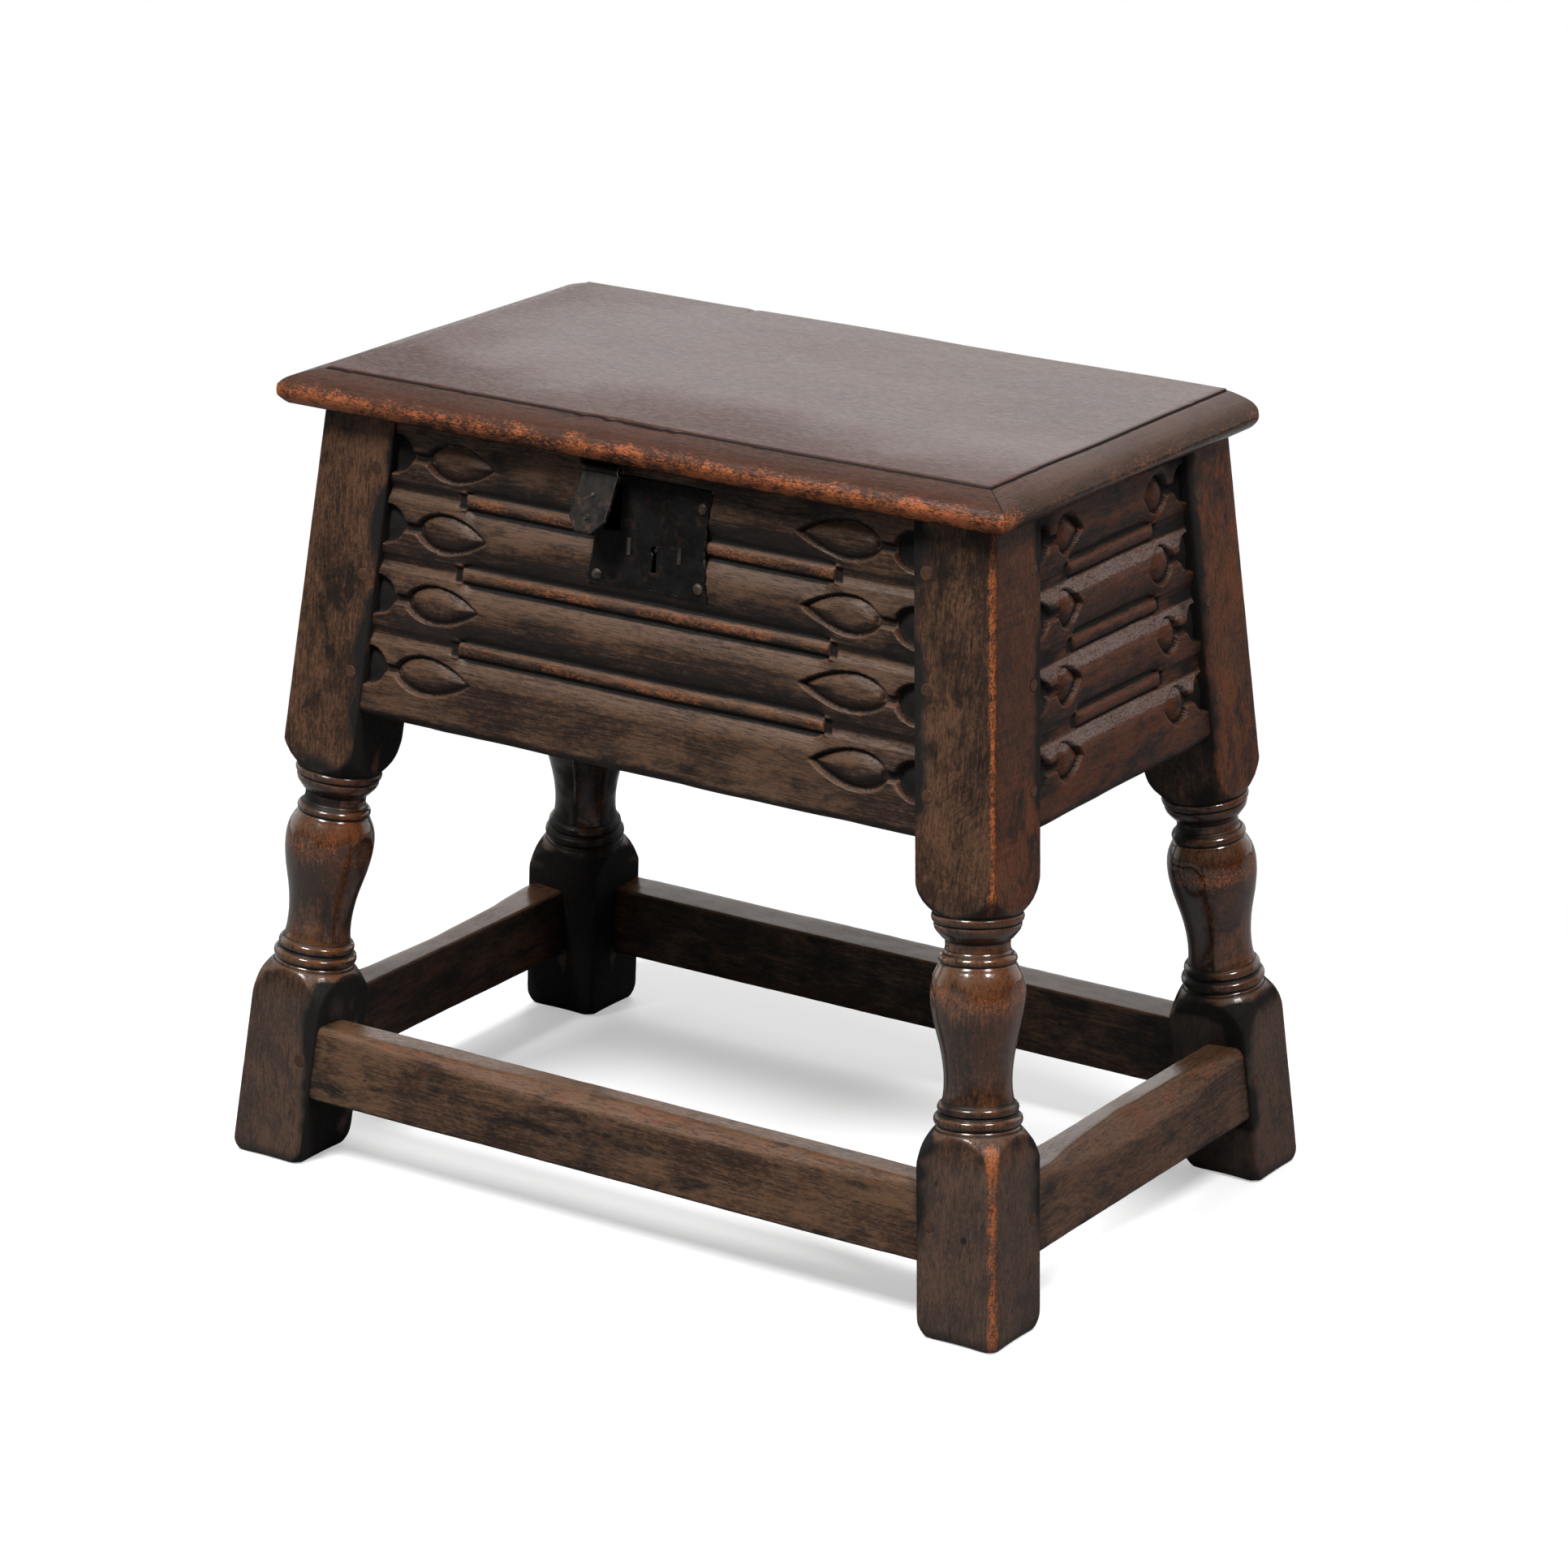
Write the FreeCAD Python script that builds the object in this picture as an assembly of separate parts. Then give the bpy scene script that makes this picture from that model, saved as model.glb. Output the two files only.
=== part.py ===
import FreeCAD, Part
import math
import os

from FreeCAD import Placement, Rotation, Vector

# A joined oak box stool: a carved box with a hinged moulded lid, on four turned legs that
# splay both ways and are tied by stretchers. Sizes are millimetres. The long side runs
# along X, the front faces -Y, Z is up, and the origin is on the floor under the middle.

# Overall sizes
seat_height = 490.0
box_length = 459.0          # over the legs, at the top of the box
box_depth = 266.0
foot_length = 545.0         # over the legs, on the floor
foot_depth = 362.0
leg_section = 52.0
rail_height = 182.5         # of the box's sides, below the lid
overrun = 10.0              # how far a cutter runs past what it cuts
oak_gap = 0.3               # slack of a tenon in its mortise and of a board in its place

# Lid
lid_thickness = 22.0
lid_end_overhang = 20.5
lid_front_overhang = 23.0
lid_gap = 0.5               # the hinges hold the lid this far above the box
moulding_width = 23.0
under_step = 2.5            # small fillet under the nose
under_step_height = 4.0
# The moulding from its quirk out to the nose: shares of its width and of the lid's thickness
moulding_shares = [(1.0, 0.93), (0.61, 0.865), (0.3, 0.76), (0.1, 0.59), (0.0, 0.34)]
nose_return_shares = (0.04, 0.24)

# Legs, from the floor up
foot_block_top = 118.5
block_below_rail = 41.5     # the square block runs this far below the rails
foot_worn_height = 7.0
foot_worn_radius_share = 1.27
shoulder_length = 22.0      # the rounded end of each square block
block_clear_share = 1.6     # outside the block's corners, where the lathe never touched
shoulder_start_share = 1.45
shoulder_middle_share = 1.27
full_turn = 360.0
# The turned part: shares of its height and of half the leg's section
turning_shares = [
    ("arc", (0.0, 0.92), (0.022, 0.965), (0.045, 0.89)),
    ("arc", (0.045, 0.89), (0.08, 0.9), (0.105, 0.8)),
    ("line", (0.105, 0.8), (0.13, 0.765)),
    ("curve", (0.13, 0.765), (0.22, 0.745), (0.33, 0.785), (0.44, 0.88), (0.53, 0.975),
     (0.61, 1.015), (0.68, 0.99), (0.73, 0.92)),
    ("arc", (0.73, 0.92), (0.748, 0.915), (0.765, 0.87)),
    ("arc", (0.765, 0.87), (0.785, 0.84), (0.8, 0.75)),
    ("line", (0.8, 0.75), (0.82, 0.71)),
    ("line", (0.82, 0.71), (0.86, 0.71)),
    ("line", (0.86, 0.71), (0.866, 0.77)),
    ("curve", (0.866, 0.77), (0.9, 0.86), (0.925, 0.945), (0.94, 0.97)),
    ("arc", (0.94, 0.97), (0.97, 1.02), (1.0, 0.99)),
]

# Rails of the box
rail_thickness = 22.0
rail_setback = 2.0          # from the face of the leg to the face of the rail
rail_tenon_thickness = 9.0
rail_tenon_setback = 13.0
tenon_clear = 4.0           # wood left inside the leg between the ends of two rails' tenons
tenon_haunch = 14.0         # the tenon stops short of the rail's top by this much
tenon_toe = 8.0

# Carving of the front and end rails
band_pitch = 42.5
first_band_drop = 24.0      # from the top of the box to the middle of the first band
band_count = 4
reed_radius = 5.0
reed_groove_width = 3.0
reed_groove_depth = 2.2
front_reed_half_length = 127.0
end_reed_half_length = 47.0
notch_length = 7.0
leaf_width = 24.0
leaf_depth = 2.0
front_leaf_length = 54.0
end_leaf_length = 27.0
leaf_setback = 23.5         # from the leg to the near point of the leaf
recess_radius = 12.0
recess_depth = 3.5
neck_width = 4.0

# Stretchers
stretcher_thickness = 26.0
stretcher_height = 47.0
stretcher_bottom_height = 43.0
stretcher_setback = 1.5
stretcher_tenon_thickness = 9.0
stretcher_tenon_setback = 13.0
stretcher_tenon_shoulder = 6.0
side_wear = 3.5             # worn off the outer top arris
end_wear = 7.0

# Pegs
peg_radius = 4.0
peg_clear = 2.0             # left between the ends of a leg's pegs that come from two sides
peg_proud = 0.5
peg_gap = 0.1
peg_edge_distance = 9.0     # from the leg's inner edge
rail_peg_shares = (0.18, 0.535, 0.86)   # down the height of the rail
stretcher_peg_shares = (0.5,)

# Bottom of the box
ledge_height = 12.0
ledge_width = 14.0
ledge_rise = 2.0            # above the rail's lower edge
board_thickness = 10.0
nail_radius = 1.3
nail_head_radius = 3.2
nail_head_height = 1.4
board_nail_length = 18.0
ledge_nail_length = 24.0
board_nail_shares = (-0.8, -0.28, 0.28, 0.8)
ledge_nail_shares = (-0.7, 0.0, 0.7)

# Lock plate: places along the front are from its middle, drops are from the top of the box
plate_left = -38.0
plate_right = 45.0
plate_low_drop = 75.5
plate_high_drop = 10.5
plate_thickness = 1.6
plate_waist = 3.5           # how far the sides are drawn in
plate_foot_rise_share = 0.5
plate_slack = 0.5
slot_middle = -22.5
slot_width = 12.0
slot_low_drop = 43.5
slot_high_drop = 15.5
keyhole_place = 7.5
keyhole_drop = 50.5
keyhole_radius = 2.5
keyhole_slot_width = 3.0
keyhole_slot_length = 13.0
plate_nail_length = 9.0
# The nails: shares of the plate's width from its left and of its height from its foot
plate_nail_shares = ((0.04, 0.83), (0.085, 0.08), (0.925, 0.83), (0.925, 0.12))

# Lock works behind the plate
case_depth = 14.0
case_wall = 1.2
case_left_margin = 5.0      # from the plate's edges to the case
case_right_margin = 8.5
case_low_margin = 11.0
case_high_margin = 5.0
case_slack = 0.4
bolt_height = 8.0
bolt_thickness = 4.0
bolt_length = 50.0
bolt_drop = 27.5
bolt_notch_share = 0.33     # how far up the bolt the key's notch goes
bolt_slack = 0.3
keep_wall = 1.5
keep_width = 5.0
keep_places = (-6.0, 24.0)
bridge_tail_width = 2.4
bridge_tail_height = 10.0
bridge_half_span = 17.4
bridge_thickness = 1.5
bridge_depth = 8.0
tail_proud = 0.4
key_pin_radius = 1.1
spring_thickness = 0.8
spring_width = 3.0

# Hasp
hasp_place = -26.0
hasp_width = 25.2
hasp_length = 39.0
hasp_thickness = 2.2
hasp_corner = 7.0
hasp_corner_rise = 9.0
hasp_swing = 24.0           # how far out it stands from the plane of the front
barrel_radius = 3.5
eye_wire_radius = 1.5
running_gap = 0.06
eye_drop = 7.0              # below the lid
eye_out = 6.0               # in front of the legs' faces
eye_side_gap = 0.5
eye_driven = 13.0           # depth of its points in the lid
loop_wire = 3.0
loop_window = 10.5
loop_reach = 15.0
loop_down = 23.0
loop_rivet_proud = 0.5

# Hinges of the lid
hinge_place = 130.0
hinge_width = 44.0
hinge_leaf_depth = 18.0
hinge_leaf_thickness = 1.6
knuckle_radius = 3.8
hinge_pin_radius = 1.9
knuckle_gap = 0.4
hinge_nail_length = 9.0
hinge_nail_head_height = 0.8
hinge_nail_shares = (-0.3, 0.3)
knuckle_count = 3

# Lengths and heights that follow from the sizes above, and how far the sides lean
tenon_length = leg_section - rail_tenon_setback - rail_tenon_thickness - tenon_clear
peg_length = leg_section - peg_edge_distance - peg_radius - peg_clear
lid_bottom = seat_height - lid_thickness
leg_height = lid_bottom - lid_gap
rail_bottom_height = leg_height - rail_height
upper_block_bottom = rail_bottom_height - block_below_rail
plate_low = leg_height - plate_low_drop
plate_high = leg_height - plate_high_drop
slot_low = leg_height - slot_low_drop
slot_high = leg_height - slot_high_drop
keyhole_height = leg_height - keyhole_drop
bolt_middle_height = leg_height - bolt_drop
eye_height = lid_bottom - eye_drop
side_cant = math.atan2(foot_depth - box_depth, leg_height + leg_height)
end_cant = math.atan2(foot_length - box_length, leg_height + leg_height)


def half_length(height):
    """Half the size over the legs along X at a height."""
    return (foot_length - (foot_length - box_length) * height / leg_height) / 2


def half_depth(height):
    """Half the size over the legs along Y at a height."""
    return (foot_depth - (foot_depth - box_depth) * height / leg_height) / 2


def inside(side, height):
    """Distance from the middle of the stool to the inner face of a side's rail."""
    return sides[side]["out"](height) - (rail_setback + rail_thickness) / math.cos(sides[side]["cant"])


def solid_from(bottom, top):
    """Flat-sided solid between two polygons with as many corners each."""
    faces = [Part.Face(Part.makePolygon(bottom + bottom[:1])),
             Part.Face(Part.makePolygon(top + top[:1]))]
    for i in range(len(bottom)):
        j = (i + 1) % len(bottom)
        side = [bottom[i], bottom[j], top[j], top[i], bottom[i]]
        faces.append(Part.Face(Part.makePolygon(side)))
    solid = Part.Solid(Part.Shell(faces))
    if solid.Volume < 0:
        solid.reverse()
    return solid


def splayed(x_low, x_high, y_low, y_high, z_low, z_high):
    """Block whose four sides lean: each of the first four is a function of the height."""
    def ring(z):
        return [Vector(x_low(z), y_low(z), z), Vector(x_high(z), y_low(z), z),
                Vector(x_high(z), y_high(z), z), Vector(x_low(z), y_high(z), z)]
    return solid_from(ring(z_low), ring(z_high))


def box_between(x_low, x_high, y_low, y_high, z_low, z_high):
    """Upright block between six planes."""
    corner = Vector(x_low, y_low, z_low)
    return Part.makeBox(x_high - x_low, y_high - y_low, z_high - z_low, corner)


def rod(start, end, radius):
    """Round rod from one point to another."""
    along = end - start
    return Part.makeCylinder(radius, along.Length, start, along)


def nail(point, into, length, head_radius=nail_head_radius, head_height=nail_head_height):
    """Wrought nail: a low domed head standing on the point, and a round shank."""
    into = Vector(into).normalize()
    shank = rod(point - into * (head_height / 2), point + into * length, nail_radius)
    dome_radius = (head_radius ** 2 + head_height ** 2) / (head_height + head_height)
    ball = Part.makeSphere(dome_radius, point + into * (dome_radius - head_height))
    head = ball.common(rod(point - into * head_height, point, head_radius))
    return shank.fuse(head)


# Each side of the box, seen from outside: its turn about Z, its cant, the half sizes that
# bound it, and what its carving measures.
sides = {
    "front": {"turn": 0.0, "cant": side_cant, "out": half_depth, "along": half_length},
    "right": {"turn": 90.0, "cant": end_cant, "out": half_length, "along": half_depth},
    "back": {"turn": 180.0, "cant": side_cant, "out": half_depth, "along": half_length},
    "left": {"turn": 270.0, "cant": end_cant, "out": half_length, "along": half_depth},
}


def face_frame(side):
    """Places a shape drawn on a side's leaning face: X along, Y inwards, Z up the slope."""
    spot = sides[side]
    turn = Placement(Vector(), Rotation(Vector(0, 0, 1), spot["turn"]))
    out = Placement(Vector(0, -spot["out"](0), 0), Rotation())
    lean = Placement(Vector(), Rotation(Vector(1, 0, 0), -math.degrees(spot["cant"])))
    return turn.multiply(out).multiply(lean)


def on_face(shape, side):
    """The shape, moved from a side's own drawing to its place."""
    moved = shape.copy()
    moved.Placement = face_frame(side).multiply(shape.Placement)
    return moved


def slope(height, side):
    """Distance up a side's leaning face to a height."""
    return height / math.cos(sides[side]["cant"])


def between_legs(side, extra):
    """Room between a side's two legs, grown into each leg by extra."""
    along = sides[side]["along"]
    reach = sides[side]["out"](0) + overrun

    def low(z):
        return -(along(z) - leg_section + extra)

    def high(z):
        return along(z) - leg_section + extra

    def near(z):
        return -reach

    def far(z):
        return 0.0

    room = splayed(low, high, near, far, -overrun, leg_height)
    room.rotate(Vector(), Vector(0, 0, 1), sides[side]["turn"])
    return room


def slab(side, depth_low, depth_high, low, high, half):
    """Plain board on a side's face between two depths and two distances up the slope."""
    return on_face(box_between(-half, half, depth_low, depth_high, low, high), side)


# Tenons, shared by the rails that carry them and the legs that are mortised for them

def rail_tenon(side, grow):
    """Tenons at both ends of a box rail, grown all round for the mortise."""
    low = slope(rail_bottom_height, side) + tenon_toe - grow
    high = slope(leg_height, side) - tenon_haunch + grow
    near = rail_tenon_setback - grow
    far = rail_tenon_setback + rail_tenon_thickness + grow
    board = slab(side, near, far, low, high, foot_length)
    return board.common(between_legs(side, tenon_length + grow))


def stretcher_tenon(side, grow):
    """Tenons at both ends of a stretcher, grown all round for the mortise."""
    low = slope(stretcher_bottom_height, side) + stretcher_tenon_shoulder - grow
    high = slope(stretcher_bottom_height, side) + stretcher_height
    high += grow - stretcher_tenon_shoulder
    near = stretcher_tenon_setback - grow
    far = stretcher_tenon_setback + stretcher_tenon_thickness + grow
    board = slab(side, near, far, low, high, foot_length)
    return board.common(between_legs(side, tenon_length + grow))


def peg_places(side):
    """Where the pegs enter a side's legs: distance up the slope, and height there."""
    places = []
    for share in rail_peg_shares:
        places.append(leg_height - (leg_height - rail_bottom_height) * share)
    for share in stretcher_peg_shares:
        places.append(stretcher_bottom_height + stretcher_height * share)
    return places


def pegs(side, grow):
    """Oak pegs of one side, grown in radius and depth for their holes."""
    found = []
    for height in peg_places(side):
        edge = sides[side]["along"](height) - leg_section + peg_edge_distance
        for hand in (-1, 1):
            start = Vector(hand * edge, -peg_proud, slope(height, side))
            end = Vector(hand * edge, peg_length + grow, slope(height, side))
            found.append(on_face(rod(start, end, peg_radius + grow), side))
    return found


# Legs

def turning_edges(stretch):
    """Outline of a leg's radius along its axis, from below the floor to above the top."""
    half = leg_section / 2
    clear = half * block_clear_share
    span = upper_block_bottom - foot_block_top

    def at(height, radius):
        return Vector(radius, 0, height * stretch)

    def turned(pair):
        return at(foot_block_top + span * pair[0], half * pair[1])

    low_end = turned(turning_shares[0][1])
    high_end = turned(turning_shares[-1][-1])
    bottom = at(-overrun, half * foot_worn_radius_share)
    worn = at(0, half * foot_worn_radius_share)
    foot = at(foot_worn_height, clear)
    foot_shoulder = at(foot_block_top - shoulder_length, half * shoulder_start_share)
    foot_clear = at(foot_block_top - shoulder_length, clear)
    foot_middle = at(foot_block_top - shoulder_length / 2, half * shoulder_middle_share)
    upper_shoulder = at(upper_block_bottom + shoulder_length, half * shoulder_start_share)
    upper_clear = at(upper_block_bottom + shoulder_length, clear)
    upper_middle = at(upper_block_bottom + shoulder_length / 2, half * shoulder_middle_share)
    top = at(leg_height + overrun, clear)
    edges = [Part.LineSegment(a, b).toShape() for a, b in
             ((at(-overrun, 0), bottom), (bottom, worn), (worn, foot), (foot, foot_clear),
              (foot_clear, foot_shoulder))]
    edges.append(Part.Arc(foot_shoulder, foot_middle, low_end).toShape())
    for kind, *pairs in turning_shares:
        points = [turned(pair) for pair in pairs]
        if kind == "line":
            edges.append(Part.LineSegment(points[0], points[1]).toShape())
        elif kind == "arc":
            edges.append(Part.Arc(points[0], points[1], points[2]).toShape())
        else:
            curve = Part.BSplineCurve()
            curve.interpolate(points)
            edges.append(curve.toShape())
    edges.append(Part.Arc(high_end, upper_middle, upper_shoulder).toShape())
    edges += [Part.LineSegment(a, b).toShape() for a, b in
              ((upper_shoulder, upper_clear), (upper_clear, top), (top, at(leg_height + overrun, 0)),
               (at(leg_height + overrun, 0), at(-overrun, 0)))]
    return edges


def front_right_leg():
    """One leg, with its mortises and peg holes."""
    def outer_x(z):
        return half_length(z)

    def inner_x(z):
        return half_length(z) - leg_section

    def outer_y(z):
        return -half_depth(z)

    def inner_y(z):
        return leg_section - half_depth(z)

    half = leg_section / 2
    foot = Vector(half_length(0) - half, half - half_depth(0), 0)
    head = Vector(half_length(leg_height) - half, half - half_depth(leg_height), leg_height)
    axis = head - foot
    outline = Part.Face(Part.Wire(turning_edges(axis.Length / leg_height)))
    turned = outline.revolve(Vector(), Vector(0, 0, 1), full_turn)
    turned.Placement = Placement(foot, Rotation(Vector(0, 0, 1), axis))
    leg = splayed(inner_x, outer_x, outer_y, inner_y, 0, leg_height).common(turned)
    for side in ("front", "right"):
        leg = leg.cut(rail_tenon(side, oak_gap))
        leg = leg.cut(stretcher_tenon(side, oak_gap))
        for peg in pegs(side, peg_gap):
            leg = leg.cut(peg)
    return leg


def legs():
    """Four legs: the first, and its mirror images."""
    right = front_right_leg()
    left = right.mirror(Vector(), Vector(1, 0, 0))
    return {
        "leg_front_right": [right],
        "leg_front_left": [left],
        "leg_back_right": [right.mirror(Vector(), Vector(0, 1, 0))],
        "leg_back_left": [left.mirror(Vector(), Vector(0, 1, 0))],
    }


# Box rails and their carving

def leaf_cutter(near, far, middle):
    """Pointed oval on a rail's face between two places along it, at one distance up."""
    top = rail_setback - overrun
    centre = (near + far) / 2
    points = [Vector(near, top, middle), Vector(centre, top, middle + leaf_width / 2),
              Vector(far, top, middle), Vector(centre, top, middle - leaf_width / 2)]
    outline = Part.Wire([Part.Arc(points[0], points[1], points[2]).toShape(),
                         Part.Arc(points[2], points[3], points[0]).toShape()])
    return Part.Face(outline).extrude(Vector(0, overrun + leaf_depth, 0))


def recess_cutter(edge, middle):
    """Half-round hollow beside the leg."""
    start = Vector(edge, rail_setback - overrun, middle)
    return rod(start, start + Vector(0, overrun + recess_depth, 0), recess_radius)


def carving_cutters(side, reed_half_length, leaf_length):
    """Everything that the carver sank into one rail, in the face's own drawing."""
    face = rail_setback
    top = slope(leg_height, side)
    cutters = []
    for band in range(band_count):
        drop = first_band_drop + band_pitch * band
        height = leg_height - drop
        edge = sides[side]["along"](height) - leg_section
        near = edge - leaf_setback
        for hand in (-1, 1):
            cutters.append(leaf_cutter(hand * near, hand * (near - leaf_length), top - drop))
            cutters.append(recess_cutter(hand * edge, top - drop))
            low = min(hand * (near - neck_width), hand * edge)
            high = max(hand * (near - neck_width), hand * edge)
            neck = neck_width / 2
            cutters.append(box_between(low, high, face - overrun, face + leaf_depth,
                                       top - drop - neck, top - drop + neck))
    for valley in range(band_count - 1):
        middle = top - first_band_drop - band_pitch * valley - band_pitch / 2
        for hand in (-1, 1):
            groove = sorted((middle + hand * reed_radius,
                             middle + hand * (reed_radius + reed_groove_width)))
            cutters.append(box_between(-reed_half_length - notch_length, reed_half_length + notch_length,
                                       face - overrun, face + reed_groove_depth, groove[0], groove[1]))
            notch = sorted((hand * reed_half_length, hand * (reed_half_length + notch_length)))
            cutters.append(box_between(notch[0], notch[1], face - overrun, face + recess_depth,
                                       middle - reed_radius, middle + reed_radius))
    return cutters


def box_rail(side):
    """Plain rail with its tenons, planed level at the top."""
    low = slope(rail_bottom_height, side)
    high = slope(leg_height, side) + overrun
    board = slab(side, rail_setback, rail_setback + rail_thickness, low, high, foot_length)
    rail = board.common(between_legs(side, 0.0)).fuse(rail_tenon(side, 0.0))
    for peg in pegs(side, peg_gap):
        rail = rail.cut(peg)
    return rail


def carved(rail, side, reed_half_length, leaf_length):
    """The rail after carving."""
    for cutter in carving_cutters(side, reed_half_length, leaf_length):
        rail = rail.cut(on_face(cutter, side))
    return rail


def rails():
    """Four box rails: the front and both ends are carved, and the front takes the lock."""
    front = carved(box_rail("front"), "front", front_reed_half_length, front_leaf_length)
    for cutter in lock_housing():
        front = front.cut(on_face(cutter, "front"))
    back = box_rail("back")
    for hand in (-1, 1):
        back = back.cut(hinge_leaf_room(hand, leg_height - hinge_leaf_thickness, leg_height))
    found = {"rail_front": front, "rail_back": back}
    for side in ("right", "left"):
        found["rail_" + side] = carved(box_rail(side), side, end_reed_half_length, end_leaf_length)
    for nails in (box_hinge_nails(), ledge_nails(), plate_nails()):
        for name in ("rail_front", "rail_back"):
            for one in nails:
                found[name] = found[name].cut(one)
    return {name: [shape] for name, shape in found.items()}


# Stretchers

def stretcher(side, wear):
    """Stretcher with its tenons and its worn outer arris."""
    low = slope(stretcher_bottom_height, side)
    high = low + stretcher_height
    near = stretcher_setback
    board = slab(side, near, near + stretcher_thickness, low, high, foot_length)
    bar = board.common(between_legs(side, 0.0))
    across = wear + wear
    worn = [Vector(-foot_length, near - wear, high + wear),
            Vector(-foot_length, near - wear, high - across),
            Vector(-foot_length, near + across, high + wear)]
    prism = Part.Face(Part.makePolygon(worn + worn[:1])).extrude(Vector(foot_length + foot_length, 0, 0))
    bar = bar.cut(on_face(prism, side)).fuse(stretcher_tenon(side, 0.0))
    for peg in pegs(side, peg_gap):
        bar = bar.cut(peg)
    return bar


def stretchers():
    """Four stretchers; feet have worn the end ones most."""
    wears = {"front": side_wear, "back": side_wear, "right": end_wear, "left": end_wear}
    return {"stretcher_" + side: [stretcher(side, wear)] for side, wear in wears.items()}


# Lid

def lid_outline(edge, step_in):
    """Moulded edge in section: points from the lid's underside round the nose to its top."""
    def at(share, height):
        return edge - step_in * moulding_width * share, lid_bottom + height

    low = [(edge - step_in * under_step, lid_bottom),
           (edge - step_in * under_step, lid_bottom + under_step_height),
           at(nose_return_shares[0], lid_thickness * nose_return_shares[1])]
    curve = [at(out, lid_thickness * up) for out, up in reversed(moulding_shares)]
    top = [at(1, lid_thickness)]
    return low, curve, top


def moulded_edges(edge, step_in, place):
    """Edges of one moulded side of the lid's section, underside first."""
    low, curve, top = lid_outline(edge, step_in)
    low = [place(*pair) for pair in low]
    curve = [place(*pair) for pair in curve]
    edges = [Part.LineSegment(a, b).toShape() for a, b in zip(low, low[1:] + curve[:1])]
    moulding = Part.BSplineCurve()
    moulding.interpolate(curve)
    edges.append(moulding.toShape())
    edges.append(Part.LineSegment(curve[-1], place(*top[0])).toShape())
    return edges, low[0], place(*top[0])


def lid():
    """Lid board, moulded at the front and ends, let out for its hinges and the hasp's eye."""
    end = box_length / 2 + lid_end_overhang
    front = -(box_depth / 2 + lid_front_overhang)
    back = box_depth / 2

    def across(x, z):
        return Vector(x, front - overrun, z)

    def lengthwise(y, z):
        return Vector(-end - overrun, y, z)

    right, right_low, right_high = moulded_edges(end, 1, across)
    left, left_low, left_high = moulded_edges(-end, -1, across)
    span = right + left + [Part.LineSegment(right_high, left_high).toShape(),
                           Part.LineSegment(left_low, right_low).toShape()]
    ends = Part.Face(Part.Wire(Part.__sortEdges__(span)))
    ends = ends.extrude(Vector(0, back - front + overrun + overrun, 0))
    nose, nose_low, nose_high = moulded_edges(front, -1, lengthwise)
    back_low = lengthwise(back, lid_bottom)
    back_high = lengthwise(back, seat_height)
    deep = nose + [Part.LineSegment(nose_high, back_high).toShape(),
                   Part.LineSegment(back_high, back_low).toShape(),
                   Part.LineSegment(back_low, nose_low).toShape()]
    length = Part.Face(Part.Wire(Part.__sortEdges__(deep)))
    length = length.extrude(Vector(end + end + overrun + overrun, 0, 0))
    board = ends.common(length)
    for hand in (-1, 1):
        board = board.cut(hinge_leaf_room(hand, lid_bottom, lid_bottom + hinge_leaf_thickness))
    for point in hasp_eye_points(oak_gap):
        board = board.cut(point)
    for one in lid_hinge_nails():
        board = board.cut(one)
    return {"lid_board": [board]}


# Bottom of the box

def ledges():
    """Strips nailed inside the front and back rails, which carry the bottom boards."""
    found = {}
    for side in ("front", "back"):
        low = slope(rail_bottom_height + ledge_rise, side)
        near = rail_setback + rail_thickness
        strip = slab(side, near, near + ledge_width, low, low + ledge_height, foot_length)
        found["ledge_" + side] = strip.common(between_legs(side, -oak_gap))
    for one in ledge_nails() + board_nails():
        for name in found:
            found[name] = found[name].cut(one)
    return {name: [shape] for name, shape in found.items()}


def ledge_nail_frame():
    """Height up the front's slope of the ledge's nails, and the depth they start at."""
    height = slope(rail_bottom_height + ledge_rise, "front") + ledge_height / 2
    return height, rail_setback + rail_thickness + ledge_width


def ledge_nails():
    """Nails through the ledges into the rails."""
    height, depth = ledge_nail_frame()
    half = half_length(rail_bottom_height) - leg_section
    found = []
    for side in ("front", "back"):
        for share in ledge_nail_shares:
            one = nail(Vector(half * share, depth, height), Vector(0, -1, 0), ledge_nail_length)
            found.append(on_face(one, side))
    return found


def board_seat():
    """Height on which the bottom boards lie: the highest edge of the leaning ledges."""
    outer = slope(rail_bottom_height + ledge_rise, "front") + ledge_height
    return outer * math.cos(side_cant) - (rail_setback + rail_thickness) * math.sin(side_cant)


def board_nails():
    """Nails through the bottom boards into the ledges."""
    top = board_seat() + oak_gap + board_thickness
    depth = inside("front", board_seat()) - ledge_width / 2
    half = half_length(board_seat()) - leg_section
    found = []
    for hand in (-1, 1):
        for share in board_nail_shares:
            found.append(nail(Vector(half * share, hand * depth, top), Vector(0, 0, -1),
                              board_nail_length))
    return found


def bottom_boards():
    """Two boards side by side, notched round the legs."""
    low = board_seat() + oak_gap
    high = low + board_thickness
    end = inside("right", high) - oak_gap
    edge = inside("front", high) - oak_gap
    board = box_between(-end, end, oak_gap / 2, edge, low, high)
    notch_x = half_length(high) - leg_section - oak_gap
    notch_y = half_depth(high) - leg_section - oak_gap
    for near, far in ((-end - overrun, -notch_x), (notch_x, end + overrun)):
        board = board.cut(box_between(near, far, notch_y, edge + overrun, low - overrun, high + overrun))
    front = board.mirror(Vector(), Vector(0, 1, 0))
    for one in board_nails():
        board = board.cut(one)
        front = front.cut(one)
    return {"bottom_board_front": [front], "bottom_board_back": [board]}


# Lock, drawn on the front's face

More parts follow.
